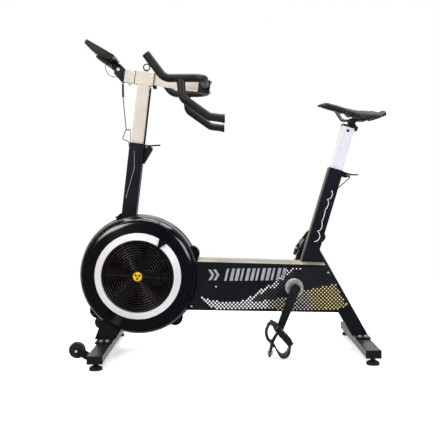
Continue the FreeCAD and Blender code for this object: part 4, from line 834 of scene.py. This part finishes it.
def from_plug(path, y=0.0):
    """Places of a path that is given from the top of the console's plug."""
    low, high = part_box("sensor_cable")
    top = Vector((low.x + PLUG_IN * MM, y, high.z))
    return [top + Vector((x, 0, z)) * MM for x, z in path]


def bending_cable():
    """The console's plug and lead, as one piece attached to no body."""
    bm = bmesh.new()
    sweep(bm, stepped(from_plug(LEAD), 5 * MM, 6 * MM), circle(LEAD_R * MM, 12), Y)
    sweep(bm, stepped(from_plug(PLUG), 0, 9 * MM), circle(PLUG_R * MM, 20), Y)
    cable = mesh_object("console_cable", bm, "cable")
    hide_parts("sensor_cable")
    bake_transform(cable)


def console_loop():
    """The short lead from the back of the console to its bracket, as one piece attached to no body."""
    bm = bmesh.new()
    path = from_plug(CONSOLE_LOOP)
    sweep(bm, curve_points(path, 8), circle(LOOP_R * MM, 10), Y)
    loop = mesh_object("console_loop", bm, "cable")
    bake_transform(loop)


def cable_clip():
    """The clip that holds the lead, on a wire standing out of the sleeve."""
    bm = bmesh.new()
    sweep(bm, from_plug(CLIP), flat_section(4 * MM, 10 * MM), Y)
    sweep(bm, from_plug(CLIP_STEM), circle(LOOP_R * MM, 10), Y)
    piece("cable_clip", bm, "plastic", "frame")


def sleeve_line():
    """A fine line down each side of the handlebar sleeve."""
    for name, side in SIDES:
        bm = bmesh.new()
        path = from_plug(SLEEVE_LINE, side * (SLEEVE_HALF + 0.1) * MM)
        sweep(bm, stepped(path, 4 * MM, 30 * MM), flat_section(1.8 * MM, 0.5 * MM), Y)
        piece(f"{name}_sleeve_line", bm, "silver_ink", "frame", smooth=False)


def bolt_sockets():
    """Flat dark hexagons on the crank's ends, painted shade standing for the hollows of the sockets, and
    round heads on the transport wheels' bolts.
    """
    axle, reach = mid("crank_axle"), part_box("crank_axle")[1].y
    bm = bmesh.new()
    for side in (-1, 1):
        plate(bm, circle(5.0 * MM, 6), Y * side, 0.4 * MM, Vector((axle.x, side * reach, axle.z)), X, Z)
    # The dark hexagons are painted shade for the sockets' hollows, not holes in the steel.
    piece("crank_socket_painted_shade", bm, "ink", "crank", smooth=False)

    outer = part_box("wheel_brackets")[1].y
    for name, side in SIDES:
        hub = mid(f"{name}_transport_wheel")
        bm = bmesh.new()
        plate(bm, circle(5.2 * MM, 18), Y * side, 1.2 * MM, Vector((hub.x, side * outer, hub.z)), X, Z)
        piece(f"{name}_wheel_bolt_head", bm, "bolt", "frame", smooth=False)


SCREWS = [(-644, 33), (-543, 113), (-84, 165), (-10, 36), (-93, 19)]
SCREW_STEPS = ((4.0, 0.7), (2.8, 1.2))    # radius and height of a head's two steps


def cover_screw_heads():
    """Bright stepped heads on the beam covers' screws."""
    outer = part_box("cover_screws")[1].y
    for name, side in SIDES:
        bm = bmesh.new()
        for x, z in SCREWS:
            centre = Vector((COVER_HIGH.x + x * MM, side * outer, COVER_LOW.z + z * MM))
            for radius, thick in SCREW_STEPS:
                plate(bm, circle(radius * MM, 16), Y * side, thick * MM, centre, X, Z)
        piece(f"{name}_screw_heads", bm, "bolt", "frame", smooth=False)


GRIP_R, COLLAR_R, COLLAR_LONG = 16 * MM, 17.2 * MM, 10 * MM


def grip_ends():
    """Rolled collars at the ends of the drop grips."""
    low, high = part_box("handlebar")
    bm = bmesh.new()
    for side in (-1, 1):
        end = Vector((high.x, side * (high.y - GRIP_R), low.z + GRIP_R))
        sweep(bm, [end - X * COLLAR_LONG, end + X * 1.5 * MM], circle(COLLAR_R, 20), Z)
    piece("grip_collars", bm, "rubber", "slider")


# ---- camera, light and floor --------------------------------------------------------------------------
CAMERA_AT, CAMERA_LENS, SENSOR = (-0.043, -3.0, 0.689), 59.15, 36.0
YAW, PITCH, ROLL = math.radians(-0.16), math.radians(2.76), math.radians(0.7)
WARM, COOL, WHITE = (1.0, 0.88, 0.72, 1), (0.72, 0.84, 1.0, 1), (1, 1, 1, 1)
SOFTBOXES = (                         # name, place, aim, size, power, colour
    ("key", (-2.2, -2.6, 2.6), (-0.2, 0, 0.6), (2.0, 1.6), 95, (1.0, 0.94, 0.86)),
    ("fill", (2.6, -2.2, 1.9), (0.2, 0, 0.6), (1.6, 1.6), 55, (0.86, 0.92, 1.0)),
    ("top", (0.0, 0.6, 3.2), (0, 0, 0), (3.0, 2.4), 110, (1.0, 0.98, 0.95)),
)
FLOOR_HALF, FLOOR_GLOW, FADE_FROM, FADE_TO = 3.2, 0.55, 1.3, 3.0


def camera(scene):
    """A camera on the bike's left, turned a little down and over."""
    data = bpy.data.cameras.new("camera")
    data.lens, data.sensor_width = CAMERA_LENS, SENSOR
    data.clip_end = 50
    eye = bpy.data.objects.new("camera", data)
    scene.collection.objects.link(eye)
    scene.camera = eye
    right = Vector((math.cos(YAW), -math.sin(YAW), 0))
    ahead = Vector((math.sin(YAW) * math.cos(PITCH), math.cos(YAW) * math.cos(PITCH), -math.sin(PITCH)))
    up = right.cross(ahead)
    tilted_right = right * math.cos(ROLL) - up * math.sin(ROLL)
    tilted_up = up * math.cos(ROLL) + right * math.sin(ROLL)
    turn = Matrix((tilted_right, tilted_up, -ahead)).transposed().to_4x4()
    eye.matrix_world = Matrix.Translation(CAMERA_AT) @ turn


def room(scene):
    """White to the camera; round the bike, warm from the front, cool from the rear and brighter behind."""
    world = bpy.data.worlds.new("studio")
    scene.world = world
    world.use_nodes = True
    tree = world.node_tree
    background = tree.nodes["Background"]
    path = add(tree, "LightPath")
    split = add(tree, "SeparateXYZ")
    tree.links.new(add(tree, "TexCoord").outputs["Generated"], split.inputs[0])
    tint = add(tree, "Mix", data_type="RGBA")
    tint.inputs[MIX_A].default_value = WARM
    tint.inputs[MIX_B].default_value = COOL
    tree.links.new(map_range(tree, split.outputs["X"], -0.6, 0.6, 0.0, 1.0), tint.inputs[0])
    glow = add(tree, "Mix", data_type="RGBA", blend_type="MULTIPLY")
    glow.inputs[0].default_value = 1.0
    tree.links.new(tint.outputs[MIX_OUT], glow.inputs[MIX_A])
    tree.links.new(map_range(tree, split.outputs["Y"], 0.1, 0.9, 0.05, 0.85), glow.inputs[MIX_B])
    seen = add(tree, "Mix", data_type="RGBA")
    seen.inputs[MIX_B].default_value = WHITE
    tree.links.new(path.outputs["Is Camera Ray"], seen.inputs[0])
    tree.links.new(glow.outputs[MIX_OUT], seen.inputs[MIX_A])
    tree.links.new(seen.outputs[MIX_OUT], background.inputs["Color"])


def softbox(scene, name, place, aim, size, power, colour):
    """A rectangular lamp that faces a point."""
    light = bpy.data.lights.new(name, "AREA")
    light.shape, light.size, light.size_y = "RECTANGLE", size[0], size[1]
    light.energy, light.color = power, colour
    holder = bpy.data.objects.new(name, light)
    scene.collection.objects.link(holder)
    holder.location = place
    holder.rotation_euler = (Vector(aim) - Vector(place)).to_track_quat("-Z", "Y").to_euler()


def floor_material():
    """A pale matt floor that fades out away from the bike."""
    mat = bpy.data.materials.new("studio_floor")
    mat.use_nodes = True
    tree = mat.node_tree
    bsdf = tree.nodes["Principled BSDF"]
    coords = add(tree, "TexCoord").outputs["Object"]
    tone = add(tree, "Mix", data_type="RGBA")
    tone.inputs[MIX_A].default_value = (0.90, 0.90, 0.90, 1)
    tone.inputs[MIX_B].default_value = (0.93, 0.93, 0.93, 1)
    tree.links.new(noise(tree, coords, 2.0), tone.inputs[0])
    tree.links.new(tone.outputs[MIX_OUT], bsdf.inputs["Base Color"])
    bsdf.inputs["Roughness"].default_value = 0.8
    bsdf.inputs["Specular IOR Level"].default_value = 0.1
    bsdf.inputs["Emission Color"].default_value = WHITE
    bsdf.inputs["Emission Strength"].default_value = FLOOR_GLOW
    distance = add(tree, "VectorMath", operation="LENGTH")
    tree.links.new(coords, distance.inputs[0])
    fade = map_range(tree, distance.outputs["Value"], FADE_FROM, FADE_TO, 1.0, 0.0)
    tree.links.new(fade, bsdf.inputs["Alpha"])
    return mat


def studio():
    """The camera, the lamps and the floor."""
    scene = bpy.context.scene
    scene.view_settings.view_transform = "Standard"
    camera(scene)
    room(scene)
    for setting in SOFTBOXES:
        softbox(scene, *setting)
    bm = bmesh.new()
    bmesh.ops.create_grid(bm, x_segments=1, y_segments=1, size=FLOOR_HALF)
    mesh = bpy.data.meshes.new("floor")
    bm.to_mesh(mesh)
    bm.free()
    mesh.materials.append(floor_material())
    floor = bpy.data.objects.new("floor", mesh)
    scene.collection.objects.link(floor)
    floor.visible_glossy = False


dress_cad_nodes()
print_dots()
print_bars()
print_flourish()
badge_marks()
saddle()
toe_straps()
shell_beads()
console_face()
bending_cable()
console_loop()
cable_clip()
sleeve_line()
bolt_sockets()
cover_screw_heads()
grip_ends()
studio()
